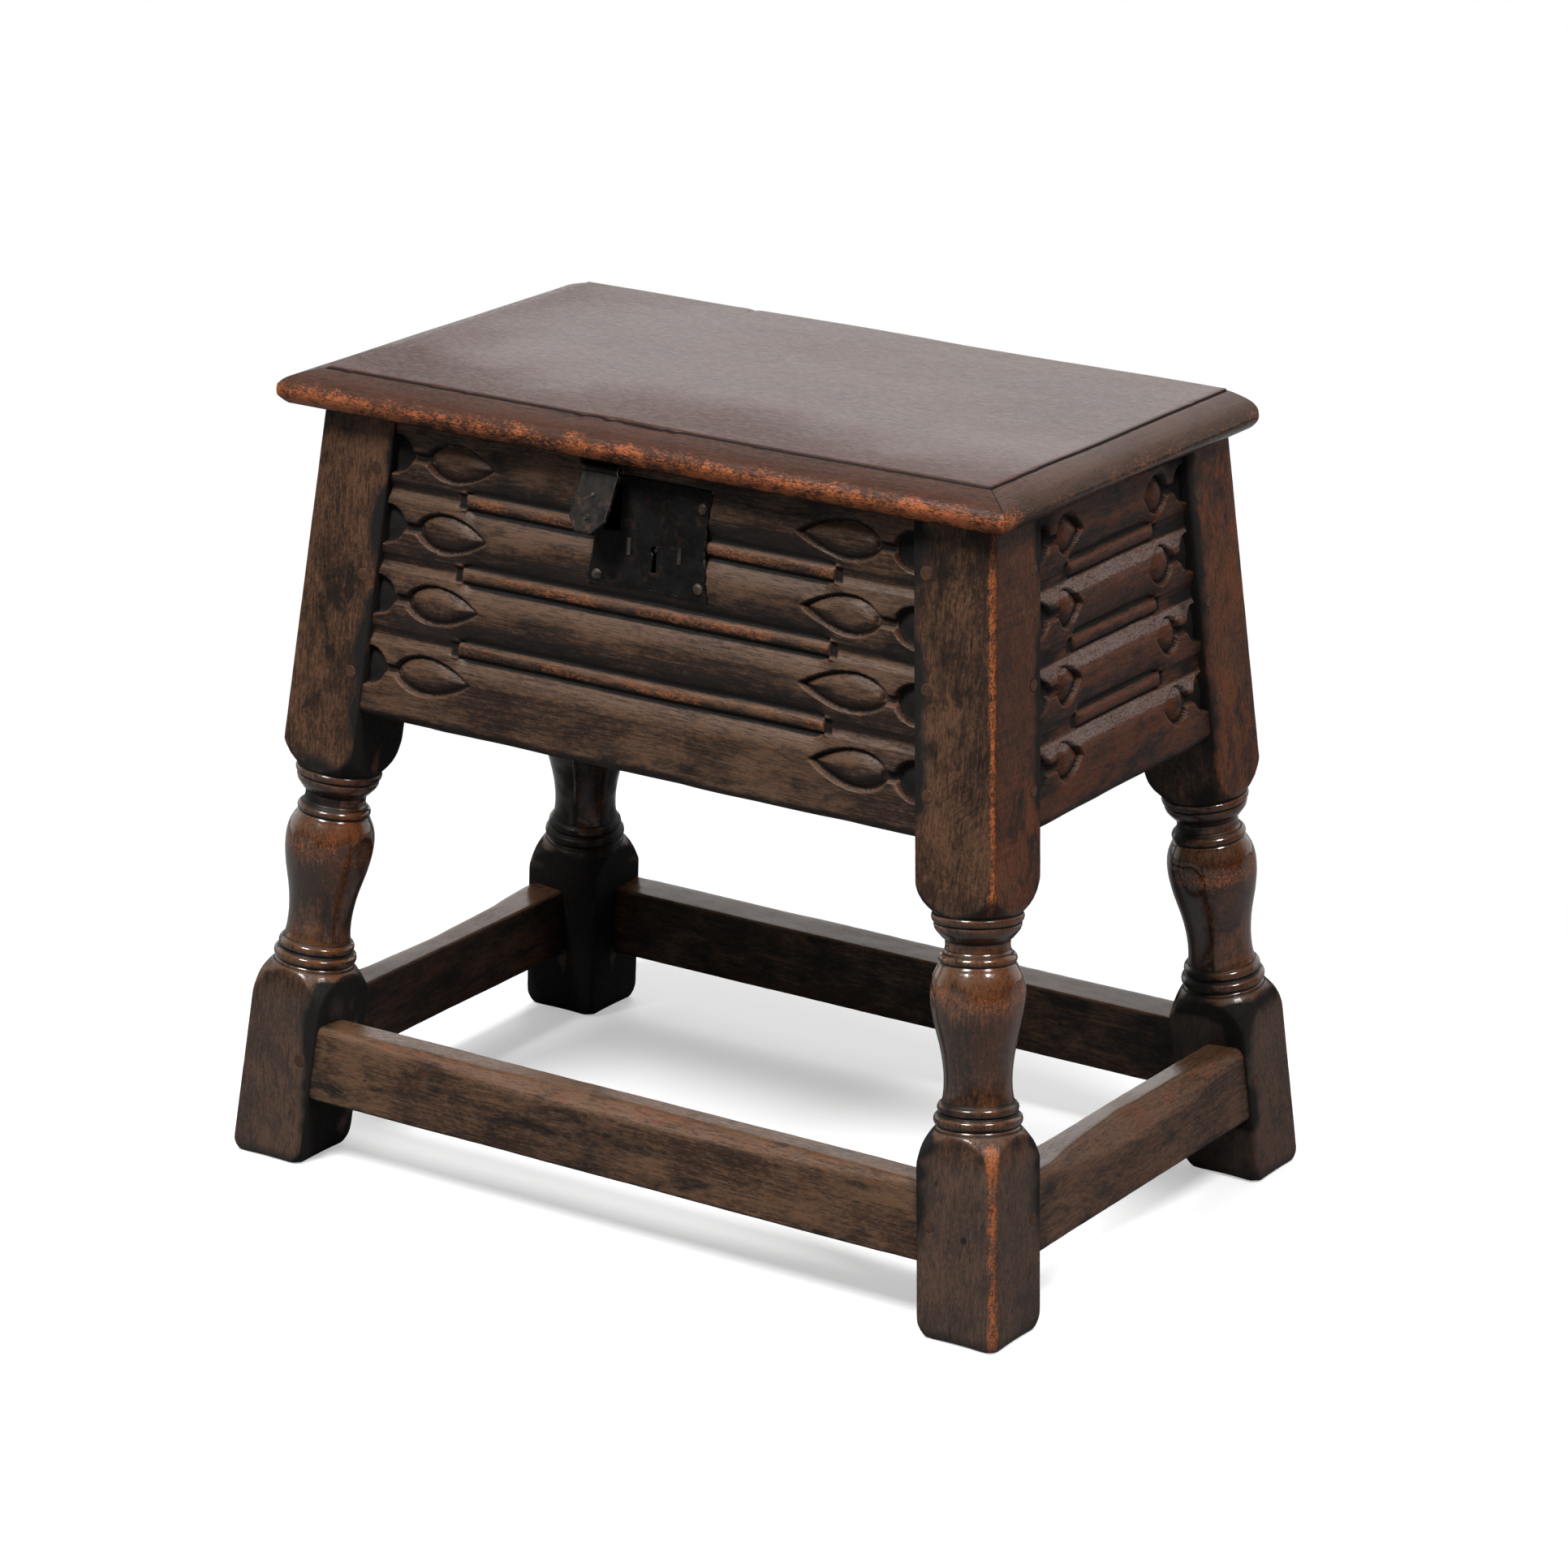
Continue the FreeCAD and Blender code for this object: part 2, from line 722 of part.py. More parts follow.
def plate_outline(grow):
    """Plate with drawn-in sides, grown all round, as a face on the rail's face."""
    left = plate_left - grow
    right = plate_right + grow
    low = slope(plate_low, "front") - grow
    high = slope(plate_high, "front") + grow
    middle_x = (left + right) / 2
    middle_z = (low + high) / 2
    waist = plate_waist - grow
    face = rail_setback
    corners = [Vector(left, face, low), Vector(right, face, low), Vector(right, face, high),
               Vector(left, face, high)]
    drawn_foot = Vector(middle_x, face, low + waist * plate_foot_rise_share)
    edges = [Part.Arc(corners[0], drawn_foot, corners[1]).toShape(),
             Part.Arc(corners[1], Vector(right - waist, face, middle_z), corners[2]).toShape(),
             Part.LineSegment(corners[2], corners[3]).toShape(),
             Part.Arc(corners[3], Vector(left + waist, face, middle_z), corners[0]).toShape()]
    return Part.Face(Part.Wire(edges))


def slot_box(grow, depth):
    """Room of the tall slot for the hasp's loop, through a depth."""
    half = slot_width / 2 + grow
    return box_between(slot_middle - half, slot_middle + half, rail_setback - overrun, depth,
                       slope(slot_low, "front") - grow, slope(slot_high, "front") + grow)


def case_limits():
    """Outer walls of the lock case: along, depth and up the slope."""
    return (plate_left + case_left_margin, plate_right - case_right_margin,
            rail_setback + plate_thickness, rail_setback + plate_thickness + case_depth,
            slope(plate_low, "front") + case_low_margin, slope(plate_high, "front") - case_high_margin)


def lock_housing():
    """What is cut out of the front rail for the lock: a shallow bed and the case's room."""
    bed = plate_outline(plate_slack).extrude(Vector(0, plate_thickness, 0))
    clear = plate_outline(plate_slack).extrude(Vector(0, -overrun, 0))
    x0, x1, y0, y1, z0, z1 = case_limits()
    room = box_between(x0 - case_slack, x1 + case_slack, y0 - plate_thickness, y1 + case_slack,
                       z0 - case_slack, z1 + case_slack)
    return [bed, clear, room]


def keyhole(depth):
    """Keyhole: a round hole over a slot."""
    height = slope(keyhole_height, "front")
    start = Vector(keyhole_place, rail_setback - overrun, height)
    half = keyhole_slot_width / 2
    slot = box_between(keyhole_place - half, keyhole_place + half, rail_setback - overrun, depth,
                       height - keyhole_slot_length, height)
    return rod(start, Vector(keyhole_place, depth, height), keyhole_radius).fuse(slot)


def bridge_tails(grow, low, high):
    """The two riveted tails that hold the ward bridge to the plate."""
    half_w = bridge_tail_width / 2 + grow
    half_h = bridge_tail_height / 2 + grow
    height = slope(keyhole_height, "front")
    found = []
    for hand in (-1, 1):
        x = keyhole_place + hand * bridge_half_span
        found.append(box_between(x - half_w, x + half_w, low, high, height - half_h, height + half_h))
    return found


def keep_feet(grow, low, high):
    """Feet of the bolt's keeps, riveted through the plate's back."""
    found = []
    outer = bolt_height / 2 + bolt_slack + keep_wall
    middle = slope(bolt_middle_height, "front")
    for x in keep_places:
        for hand in (-1, 1):
            near = middle + hand * (bolt_height / 2 + bolt_slack)
            far = middle + hand * outer
            found.append(box_between(x - keep_width / 2 - grow, x + keep_width / 2 + grow, low, high,
                                     min(near, far) - grow, max(near, far) + grow))
    return found


def plate_nails():
    """Four nails near the plate's corners."""
    found = []
    for along, up in plate_nail_shares:
        x = plate_left + (plate_right - plate_left) * along
        z = slope(plate_low + (plate_high - plate_low) * up, "front")
        one = nail(Vector(x, rail_setback, z), Vector(0, 1, 0), plate_nail_length)
        found.append(on_face(one, "front"))
    return found


def lock_plate():
    """Iron plate with its keyhole, its slot and the holes for nails and tails."""
    plate = plate_outline(0.0).extrude(Vector(0, plate_thickness, 0))
    plate = plate.cut(slot_box(0.0, overrun)).cut(keyhole(overrun))
    for tail in bridge_tails(0.0, -overrun, overrun):
        plate = plate.cut(tail)
    plate = on_face(plate, "front")
    for one in plate_nails():
        plate = plate.cut(one)
    return plate


def lock_case():
    """Sheet-iron tray behind the plate, open towards it."""
    x0, x1, y0, y1, z0, z1 = case_limits()
    tray = box_between(x0, x1, y0, y1, z0, z1)
    return tray.cut(box_between(x0 + case_wall, x1 - case_wall, y0 - overrun, y1 - case_wall,
                                z0 + case_wall, z1 - case_wall))


def bolt_depth():
    """Depth of the bolt's front face, just behind the plate."""
    return rail_setback + plate_thickness + bolt_slack


def lock_bolt():
    """Sliding bolt, drawn back clear of the slot, with a notch for the key's bit."""
    start = slot_middle + slot_width / 2
    middle = slope(bolt_middle_height, "front")
    low = middle - bolt_height / 2
    front = bolt_depth()
    bolt = box_between(start, start + bolt_length, front, front + bolt_thickness, low, low + bolt_height)
    notch_top = low + bolt_height * bolt_notch_share
    notch = box_between(keyhole_place - keyhole_slot_width, keyhole_place + keyhole_slot_width,
                        front - overrun, front + overrun, low - overrun, notch_top)
    return bolt.cut(notch)


def bolt_keeps():
    """Two bridges over the bolt, which guide it along the back of the plate."""
    back = bolt_depth() + bolt_thickness + bolt_slack
    plate_back = rail_setback + plate_thickness
    found = []
    feet = keep_feet(0.0, plate_back, back + keep_wall)
    for i, x in enumerate(keep_places):
        pair = feet[i + i: i + i + 2]
        bounds = [foot.BoundBox for foot in pair]
        top = box_between(x - keep_width / 2, x + keep_width / 2, back, back + keep_wall,
                          min(b.ZMin for b in bounds), max(b.ZMax for b in bounds))
        found.append(pair[0].fuse(pair[1]).fuse(top).removeSplitter())
    return found


def ward_bridge():
    """Bridge round the keyhole inside the case; its tails are riveted over on the plate."""
    back = rail_setback + plate_thickness + bridge_depth
    height = slope(keyhole_height, "front")
    tails = bridge_tails(0.0, rail_setback - tail_proud, back)
    reach = bridge_half_span + bridge_tail_width / 2
    bar = box_between(keyhole_place - reach, keyhole_place + reach, back, back + bridge_thickness,
                      height - bridge_tail_height / 2, height + bridge_tail_height / 2)
    hole = key_pin_radius + bolt_slack
    start = Vector(keyhole_place, back - overrun, height)
    bar = bar.cut(rod(start, start + Vector(0, overrun + overrun, 0), hole))
    return tails[0].fuse(tails[1]).fuse(bar)


def key_pin():
    """Pin on the case's back, on which the hollow key turns."""
    height = slope(keyhole_height, "front")
    back = case_limits()[3] - case_wall
    start = Vector(keyhole_place, rail_setback + plate_thickness, height)
    return rod(start, Vector(keyhole_place, back, height), key_pin_radius)


def bolt_spring():
    """Flat spring bent from the case's top down onto the bolt."""
    x0, x1, y0, y1, z0, z1 = case_limits()
    ceiling = z1 - case_wall
    touch = slope(bolt_middle_height, "front") + bolt_height / 2 + bolt_slack
    front = bolt_depth()
    left = keep_places[0] + keep_width
    right = keep_places[1] - keep_width
    middle = (left + right) / 2
    drop = Vector(0, 0, spring_thickness)
    high = Vector(left, front, ceiling - spring_thickness)
    low = Vector(middle, front, touch)
    end = Vector(right, front, ceiling - spring_thickness)
    lower = Part.Arc(high, low, end).toShape()
    upper = Part.Arc(high + drop, low + drop, end + drop).toShape()
    ends = [Part.LineSegment(high, high + drop).toShape(), Part.LineSegment(end, end + drop).toShape()]
    strip = Part.Face(Part.Wire(Part.__sortEdges__([lower, upper] + ends)))
    return strip.extrude(Vector(0, spring_width, 0))


def lock():
    """The lock's pieces, moved to the front rail."""
    loose = {"lock_case": [lock_case()], "lock_bolt": [lock_bolt()], "bolt_keeps": bolt_keeps(),
             "ward_bridge": [ward_bridge()], "key_pin": [key_pin()], "bolt_spring": [bolt_spring()]}
    found = {name: [on_face(one, "front") for one in shapes] for name, shapes in loose.items()}
    found["lock_plate"] = [lock_plate()]
    found["plate_nails"] = plate_nails()
    return found


# Hasp, drawn hanging straight down from its eye, then swung out and placed

def eye_point():
    """Middle of the hasp's hinge, in the stool's own axes."""
    return Vector(hasp_place, -(half_depth(eye_height) + eye_out), eye_height)


def hang(shape):
    """Puts a piece drawn on the hasp's own hinge into its place, swung a little way out."""
    swing = hasp_swing + math.degrees(side_cant)
    moved = shape.copy()
    moved.Placement = Placement(eye_point(), Rotation(Vector(1, 0, 0), -swing))
    return moved


def hasp_strap():
    """Flat strap with clipped lower corners, rolled round its eye at the top."""
    half = hasp_width / 2
    front = -hasp_thickness / 2
    low = -hasp_length
    points = [Vector(-half, front, 0), Vector(-half, front, low + hasp_corner_rise),
              Vector(-half + hasp_corner, front, low), Vector(half - hasp_corner, front, low),
              Vector(half, front, low + hasp_corner_rise), Vector(half, front, 0)]
    plate = Part.Face(Part.makePolygon(points + points[:1])).extrude(Vector(0, hasp_thickness, 0))
    barrel = rod(Vector(-half, 0, 0), Vector(half, 0, 0), barrel_radius)
    bore = rod(Vector(-half - overrun, 0, 0), Vector(half + overrun, 0, 0),
               eye_wire_radius + running_gap)
    strap = plate.fuse(barrel).cut(bore)
    for hand in (-1, 1):
        middle = -loop_down + hand * (loop_window + loop_wire) / 2
        half_wire = loop_wire / 2
        strap = strap.cut(box_between(-half_wire, half_wire, -overrun, overrun,
                                      middle - half_wire, middle + half_wire))
    return hang(strap)


def hasp_loop():
    """Square staple riveted through the strap, which the bolt enters."""
    half_wire = loop_wire / 2
    back = hasp_thickness / 2 + loop_reach
    outer = loop_window / 2 + loop_wire
    shape = box_between(-half_wire, half_wire, back - loop_wire, back,
                        -loop_down - outer, -loop_down + outer)
    for hand in (-1, 1):
        middle = -loop_down + hand * (loop_window + loop_wire) / 2
        shape = shape.fuse(box_between(-half_wire, half_wire, -hasp_thickness / 2 - loop_rivet_proud,
                                       back, middle - half_wire, middle + half_wire))
    return hang(shape.removeSplitter())


def hasp_eye_points(grow):
    """The eye staple's two points, driven up into the lid."""
    centre = eye_point()
    reach = hasp_width / 2 + eye_side_gap + eye_wire_radius
    found = []
    for hand in (-1, 1):
        start = centre + Vector(hand * reach, 0, 0)
        rise = lid_bottom - eye_height + eye_driven
        found.append(rod(start, start + Vector(0, 0, rise), eye_wire_radius + grow))
    return found


def hasp_eye():
    """Wire staple under the lid: the hasp's barrel turns on its crossbar."""
    centre = eye_point()
    reach = hasp_width / 2 + eye_side_gap + eye_wire_radius
    bar = rod(centre - Vector(reach, 0, 0), centre + Vector(reach, 0, 0), eye_wire_radius)
    for hand, point in zip((-1, 1), hasp_eye_points(0.0)):
        bend = Part.makeSphere(eye_wire_radius, centre + Vector(hand * reach, 0, 0))
        bar = bar.fuse(point).fuse(bend)
    return bar


# Lid hinges at the back

def hinge_axis():
    """Height and depth of the hinge pins, just behind the back of the box."""
    return box_depth / 2 + knuckle_gap + knuckle_radius, leg_height + lid_gap / 2


def hinge_leaf_room(hand, low, high):
    """Bed of one hinge leaf, between two heights."""
    depth = hinge_axis()[0]
    x0 = hand * hinge_place - hinge_width / 2
    return box_between(x0, x0 + hinge_width, box_depth / 2 - hinge_leaf_depth, depth, low, high)


def hinge_knuckles(hand, wanted, low, high, side_low, side_high):
    """One leaf with its share of the knuckles, bored for the pin."""
    depth, axis_height = hinge_axis()
    leaf = hinge_leaf_room(hand, low, high)
    step = hinge_width / knuckle_count
    x0 = hand * hinge_place - hinge_width / 2
    for i in range(knuckle_count):
        start = x0 + step * i
        if i in wanted:
            inset = lid_gap / 2
            roll = rod(Vector(start + inset, depth, axis_height),
                       Vector(start + step - inset, depth, axis_height), knuckle_radius)
            leaf = leaf.fuse(roll)
        else:
            gap = box_between(start - lid_gap / 2, start + step + lid_gap / 2,
                              depth - knuckle_radius - knuckle_gap, depth + knuckle_radius + overrun,
                              side_low, side_high)
            leaf = leaf.cut(gap)
    bore = rod(Vector(x0 - overrun, depth, axis_height),
               Vector(x0 + hinge_width + overrun, depth, axis_height),
               hinge_pin_radius + running_gap)
    return leaf.cut(bore)


def hinges():
    """Both hinges: lid leaf, box leaf and pin."""
    found = {}
    depth, axis_height = hinge_axis()
    low = leg_height - overrun
    high = lid_bottom + overrun
    for hand, name in ((-1, "left"), (1, "right")):
        upper = hinge_knuckles(hand, (1,), lid_bottom, lid_bottom + hinge_leaf_thickness, low, high)
        lower = hinge_knuckles(hand, (0, 2), leg_height - hinge_leaf_thickness, leg_height, low, high)
        for one in lid_hinge_nails():
            upper = upper.cut(one)
        for one in box_hinge_nails():
            lower = lower.cut(one)
        half = hinge_width / 2 - running_gap
        centre = Vector(hand * hinge_place, depth, axis_height)
        pin = rod(centre - Vector(half, 0, 0), centre + Vector(half, 0, 0), hinge_pin_radius)
        found["hinge_%s_lid_leaf" % name] = [upper]
        found["hinge_%s_box_leaf" % name] = [lower]
        found["hinge_%s_pin" % name] = [pin]
    return found


def hinge_nail_set(level, into):
    """Countersunk nails of both hinges, flush with the leaves' meeting faces."""
    found = []
    for hand in (-1, 1):
        for share in hinge_nail_shares:
            spot = Vector(hand * hinge_place + hinge_width * share,
                          box_depth / 2 - hinge_leaf_depth / 2, level)
            shank = rod(spot, spot + into * hinge_nail_length, nail_radius)
            head = Part.makeCone(nail_head_radius, nail_radius, hinge_nail_head_height, spot, into)
            found.append(shank.fuse(head))
    return found


def lid_hinge_nails():
    """Nails up into the lid."""
    return hinge_nail_set(lid_bottom, Vector(0, 0, 1))


def box_hinge_nails():
    """Nails down into the back rail."""
    return hinge_nail_set(leg_height, Vector(0, 0, -1))


def fasteners():
    """Pegs and nails, each kind in one group."""
    rail_pegs = []
    stretcher_pegs = []
    for side in sides:
        found = pegs(side, 0.0)
        split = len(rail_peg_shares) * 2
        rail_pegs += found[:split]
        stretcher_pegs += found[split:]
    return {"rail_pegs": rail_pegs, "stretcher_pegs": stretcher_pegs,
            "ledge_nails": ledge_nails(), "bottom_nails": board_nails(),
            "hinge_nails_lid": lid_hinge_nails(), "hinge_nails_box": box_hinge_nails()}


def write(name, shapes):
    """Writes one node, as one solid or as a group of separate ones."""
    solids = [solid for shape in shapes for solid in shape.Solids]
    node = solids[0] if len(solids) == 1 else Part.makeCompound(solids)
    node.exportStep("parts/%s.step" % name)
    print("%-22s %2d solid(s) %10.0f mm3 valid %s" % (name, len(solids), node.Volume, node.isValid()))


os.makedirs("parts", exist_ok=True)
nodes = {}
for group in (lid(), legs(), rails(), stretchers(), ledges(), bottom_boards(), lock(), hinges(),
              fasteners()):
    nodes.update(group)
nodes["hasp_strap"] = [hasp_strap()]
nodes["hasp_loop"] = [hasp_loop()]
nodes["hasp_eye"] = [hasp_eye()]
for name, shapes in nodes.items():
    write(name, shapes)
print(len(nodes), "nodes; side cant", round(math.degrees(side_cant), 2),
      "end cant", round(math.degrees(end_cant), 2), "eye", eye_point(), "hinge", hinge_axis())
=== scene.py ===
# %% [markdown]
# # A joined oak box stool
#
# This file dresses the stool's plain construction model in old oak and forged iron. The box,
# its legs and its lock already stand in the frame that the first cell loads: every piece made
# here takes the place of one of them, so that it fits without any moving about. Sizes are
# written in millimetres, as a joiner would write them, and become metres in the meshes.

import collections
import itertools
import math

import bmesh
import bpy
import mathutils
import numpy as np
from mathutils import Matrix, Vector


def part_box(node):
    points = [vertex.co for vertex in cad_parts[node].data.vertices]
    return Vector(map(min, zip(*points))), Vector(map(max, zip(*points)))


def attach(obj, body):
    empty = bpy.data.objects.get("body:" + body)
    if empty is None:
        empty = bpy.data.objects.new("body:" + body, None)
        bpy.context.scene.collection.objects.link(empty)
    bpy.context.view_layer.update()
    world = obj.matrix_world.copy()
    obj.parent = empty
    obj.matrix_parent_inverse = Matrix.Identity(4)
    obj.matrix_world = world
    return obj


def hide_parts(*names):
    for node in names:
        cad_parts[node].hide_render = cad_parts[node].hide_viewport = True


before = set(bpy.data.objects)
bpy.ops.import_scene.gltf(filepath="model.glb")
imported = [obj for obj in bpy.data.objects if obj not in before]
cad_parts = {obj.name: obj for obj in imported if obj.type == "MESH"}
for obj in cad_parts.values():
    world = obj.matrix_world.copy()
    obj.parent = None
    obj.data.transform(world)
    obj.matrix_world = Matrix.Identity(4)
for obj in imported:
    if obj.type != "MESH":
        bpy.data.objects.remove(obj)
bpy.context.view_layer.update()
MM = 0.001
LEG_TOP, RAIL_FOOT = 467.5, 285.0
LEG_SECTION = 52.0
BOX_LENGTH, BOX_DEPTH = 459.0, 266.0
FOOT_LENGTH, FOOT_DEPTH = 545.0, 362.0
STRETCHER_FOOT, STRETCHER_SECTION = 43.0, (26.0, 47.0)
HOUSED = 1.5  # how far a rail or a stretcher runs on into a leg
SETBACK = 2.0  # how far a rail's face lies behind the legs' faces
HINGE_X = 130.0
SIDE_CANT = math.atan2(FOOT_DEPTH - BOX_DEPTH, 2 * LEG_TOP)
END_CANT = math.atan2(FOOT_LENGTH - BOX_LENGTH, 2 * LEG_TOP)


def half_size(at_foot, at_box):
    """Half the stool's size over the legs, as a rule that takes a height."""
    return lambda z: (at_foot - (at_foot - at_box) * z / LEG_TOP) / 2


half_length, half_depth = half_size(FOOT_LENGTH, BOX_LENGTH), half_size(FOOT_DEPTH, BOX_DEPTH)

# Each side: its turn, its lean, the half sizes outwards and along, and the axes of its grain
Side = collections.namedtuple("Side", "turn cant out along grain")
SIDES = {
    "front": Side(0, SIDE_CANT, half_depth, half_length, (0, 2, 1)),
    "right": Side(90, END_CANT, half_length, half_depth, (1, 2, 0)),
    "back": Side(180, SIDE_CANT, half_depth, half_length, (0, 2, 1)),
    "left": Side(270, END_CANT, half_length, half_depth, (1, 2, 0)),
}


def on_side(side, along, up, deep):
    """Points of a side's leaning face: along it, up its slope, and in from the legs' face."""
    turn, cant, out = SIDES[side][:3]
    along, up, deep = np.broadcast_arrays(*(np.asarray(v, float) for v in (along, up, deep)))
    y = -out(0) + up * math.sin(cant) + deep * math.cos(cant)
    z = up * math.cos(cant) - deep * math.sin(cant)
    c, s = round(math.cos(math.radians(turn))), round(math.sin(math.radians(turn)))
    return np.stack([c * along - s * y, s * along + c * y, z], axis=-1)


# %% [markdown]
# ## Nothing is quite straight
#
# Hand planes, chisels and three centuries of shoes leave every face a little uneven. A smooth
# random value that depends only on the place gives each piece its own dips and bruises, and
# gives the same ones at every run.

# %% Smooth random unevenness
TABLE = np.random.RandomState(1650).rand(32, 32, 32)


def lumps(points, size, seed=0.0, layers=2):
    """Smooth value from -1 to 1 at each point, with humps about `size` apart."""
    total, weights = np.zeros(points.shape[:-1]), 0.0
    for layer in range(layers):
        q = points / np.asarray(size, float) * 2 ** layer + seed * 7.31 + layer * 3.7
        cell = np.floor(q).astype(int)
        f = q - cell
        f = f * f * (3 - 2 * f)
        value = np.zeros(points.shape[:-1])
        for corner in itertools.product((0, 1), repeat=3):
            share = np.ones(points.shape[:-1])
            for k in range(3):
                share = share * (f[..., k] if corner[k] else 1 - f[..., k])
            i, j, k = ((cell[..., n] + corner[n]) & 31 for n in range(3))
            value += share * TABLE[i, j, k]
        total += 0.5 ** layer * (2 * value - 1)
        weights += 0.5 ** layer
    return total / weights * 1.6


def unit(value):
    """Keeps a value between 0 and 1."""
    return np.clip(value, 0, 1)


def ease(low, high, value):
    """0 below low, 1 above high, and a smooth rise between."""
    t = unit((np.asarray(value, float) - low) / (high - low))
    return t * t * (3 - 2 * t)


def steps(*stretches):
    """Places along a line: each stretch is (from, to, spacing)."""
    found = [np.linspace(low, high, max(2, int(abs(high - low) / gap) + 1))[:-1]
             for low, high, gap in stretches]
    return np.concatenate(found + [[stretches[-1][1]]])


# %% [markdown]
# ## From rings of points to a closed piece
#
# A rail, a leg or a stretcher is one long form, so each is a row of rings: the outline of the
# timber at many places along it. Neighbouring rings are joined by four-sided faces, and the
# first and the last are closed. That gives full control over where the detail goes, and the
# mesh comes out closed every time.

# %% Rings to mesh, with the marks that the finish reads
def faces_mesh(name, points, quads, ends=()):
    """Mesh from points in millimetres, four-sided faces, and closing outlines."""
    mesh = bpy.data.meshes.new(name)
    loops = np.concatenate([np.asarray(quads, int).reshape(-1)]
                           + [np.asarray(e, int) for e in ends])
    end_starts = len(quads) * 4 + np.cumsum([0] + [len(e) for e in ends])[:-1]
    starts = np.concatenate([np.arange(len(quads)) * 4, end_starts])
    mesh.vertices.add(len(points))
    mesh.vertices.foreach_set("co", (np.asarray(points, float) * MM).astype(np.float32).ravel())
    mesh.loops.add(len(loops))
    mesh.loops.foreach_set("vertex_index", loops.astype(np.int32))
    mesh.polygons.add(len(quads) + len(ends))
    mesh.polygons.foreach_set("loop_start", starts.astype(np.int32))
    mesh.update(calc_edges=True)
    mesh.validate()
    mesh.polygons.foreach_set("use_smooth", np.arange(len(mesh.polygons)) < len(quads))
    return mesh


def ring_quads(rows, columns):
    """Four-sided faces between neighbouring rings."""
    i, j = np.meshgrid(np.arange(rows - 1), np.arange(columns), indexing="ij")
    here, there = i * columns, (i + 1) * columns
    after = (j + 1) % columns
    return np.stack([here + j, here + after, there + after, there + j], axis=-1).reshape(-1, 4)


def volume_sign(points, quads):
    """Above zero where the faces point outwards."""
    a, b, c, d = (points[quads[:, k]] for k in range(4))
    return np.sum(np.cross(b - a, c - a) * a) + np.sum(np.cross(c - a, d - a) * a)


def lofted(name, rings):
    """Closed piece through rings of points, which are rows by columns by 3."""
    rows, columns = rings.shape[:2]
    points = rings.reshape(-1, 3)
    quads = ring_quads(rows, columns)
    first = np.arange(columns)[::-1]
    last = np.arange(columns) + (rows - 1) * columns
    if volume_sign(points - points.mean(0), quads) < 0:
        quads, first, last = quads[:, ::-1], first[::-1], last[::-1]
    return faces_mesh(name, points, quads, (first, last))


def points_of(mesh, what="co"):
    """Places of a mesh's points in metres, or their normals."""
    found = np.zeros(len(mesh.vertices) * 3)
    mesh.vertices.foreach_get(what, found)
    return found.reshape(-1, 3)


def corner_shape(mesh, reach=2):
    """Points, normals, and how each point stands out: above zero on an edge, below in a groove."""
    n = len(mesh.vertices)
    co, no = points_of(mesh) / MM, points_of(mesh, "normal")
    edges = np.zeros(len(mesh.edges) * 2, int)
    mesh.edges.foreach_get("vertices", edges)
    a, b = edges.reshape(-1, 2).T
    line = co[b] - co[a]
    length = np.maximum(np.linalg.norm(line, axis=1), 0.05)
    bend = np.zeros(n)
    count = np.maximum(np.bincount(a, minlength=n) + np.bincount(b, minlength=n), 1)
    np.add.at(bend, a, -np.sum(no[a] * line, axis=1) / length ** 2)
    np.add.at(bend, b, np.sum(no[b] * line, axis=1) / length ** 2)
    bend = bend / count * 2
    for _ in range(reach):
        spread = np.bincount(a, bend[b], n) + np.bincount(b, bend[a], n)
        bend = bend * 0.4 + spread / count * 0.6
    return co, no, bend


def write_marks(mesh, **marks):
    """Stores a value or a vector for each point, for the finish to read."""
    for name, values in marks.items():
        values = np.asarray(values, np.float32)
        kind, field = ("FLOAT_VECTOR", "vector") if values.ndim == 2 else ("FLOAT", "value")
        mesh.attributes.new(name, kind, "POINT").data.foreach_set(field, values.ravel())


def grain_along(axes, draw=1.0):
    """The grain runs along the first of the axes, its fibres drawn closer by a factor."""
    return lambda co: co[:, axes] * (draw, 1.0, 1.0)


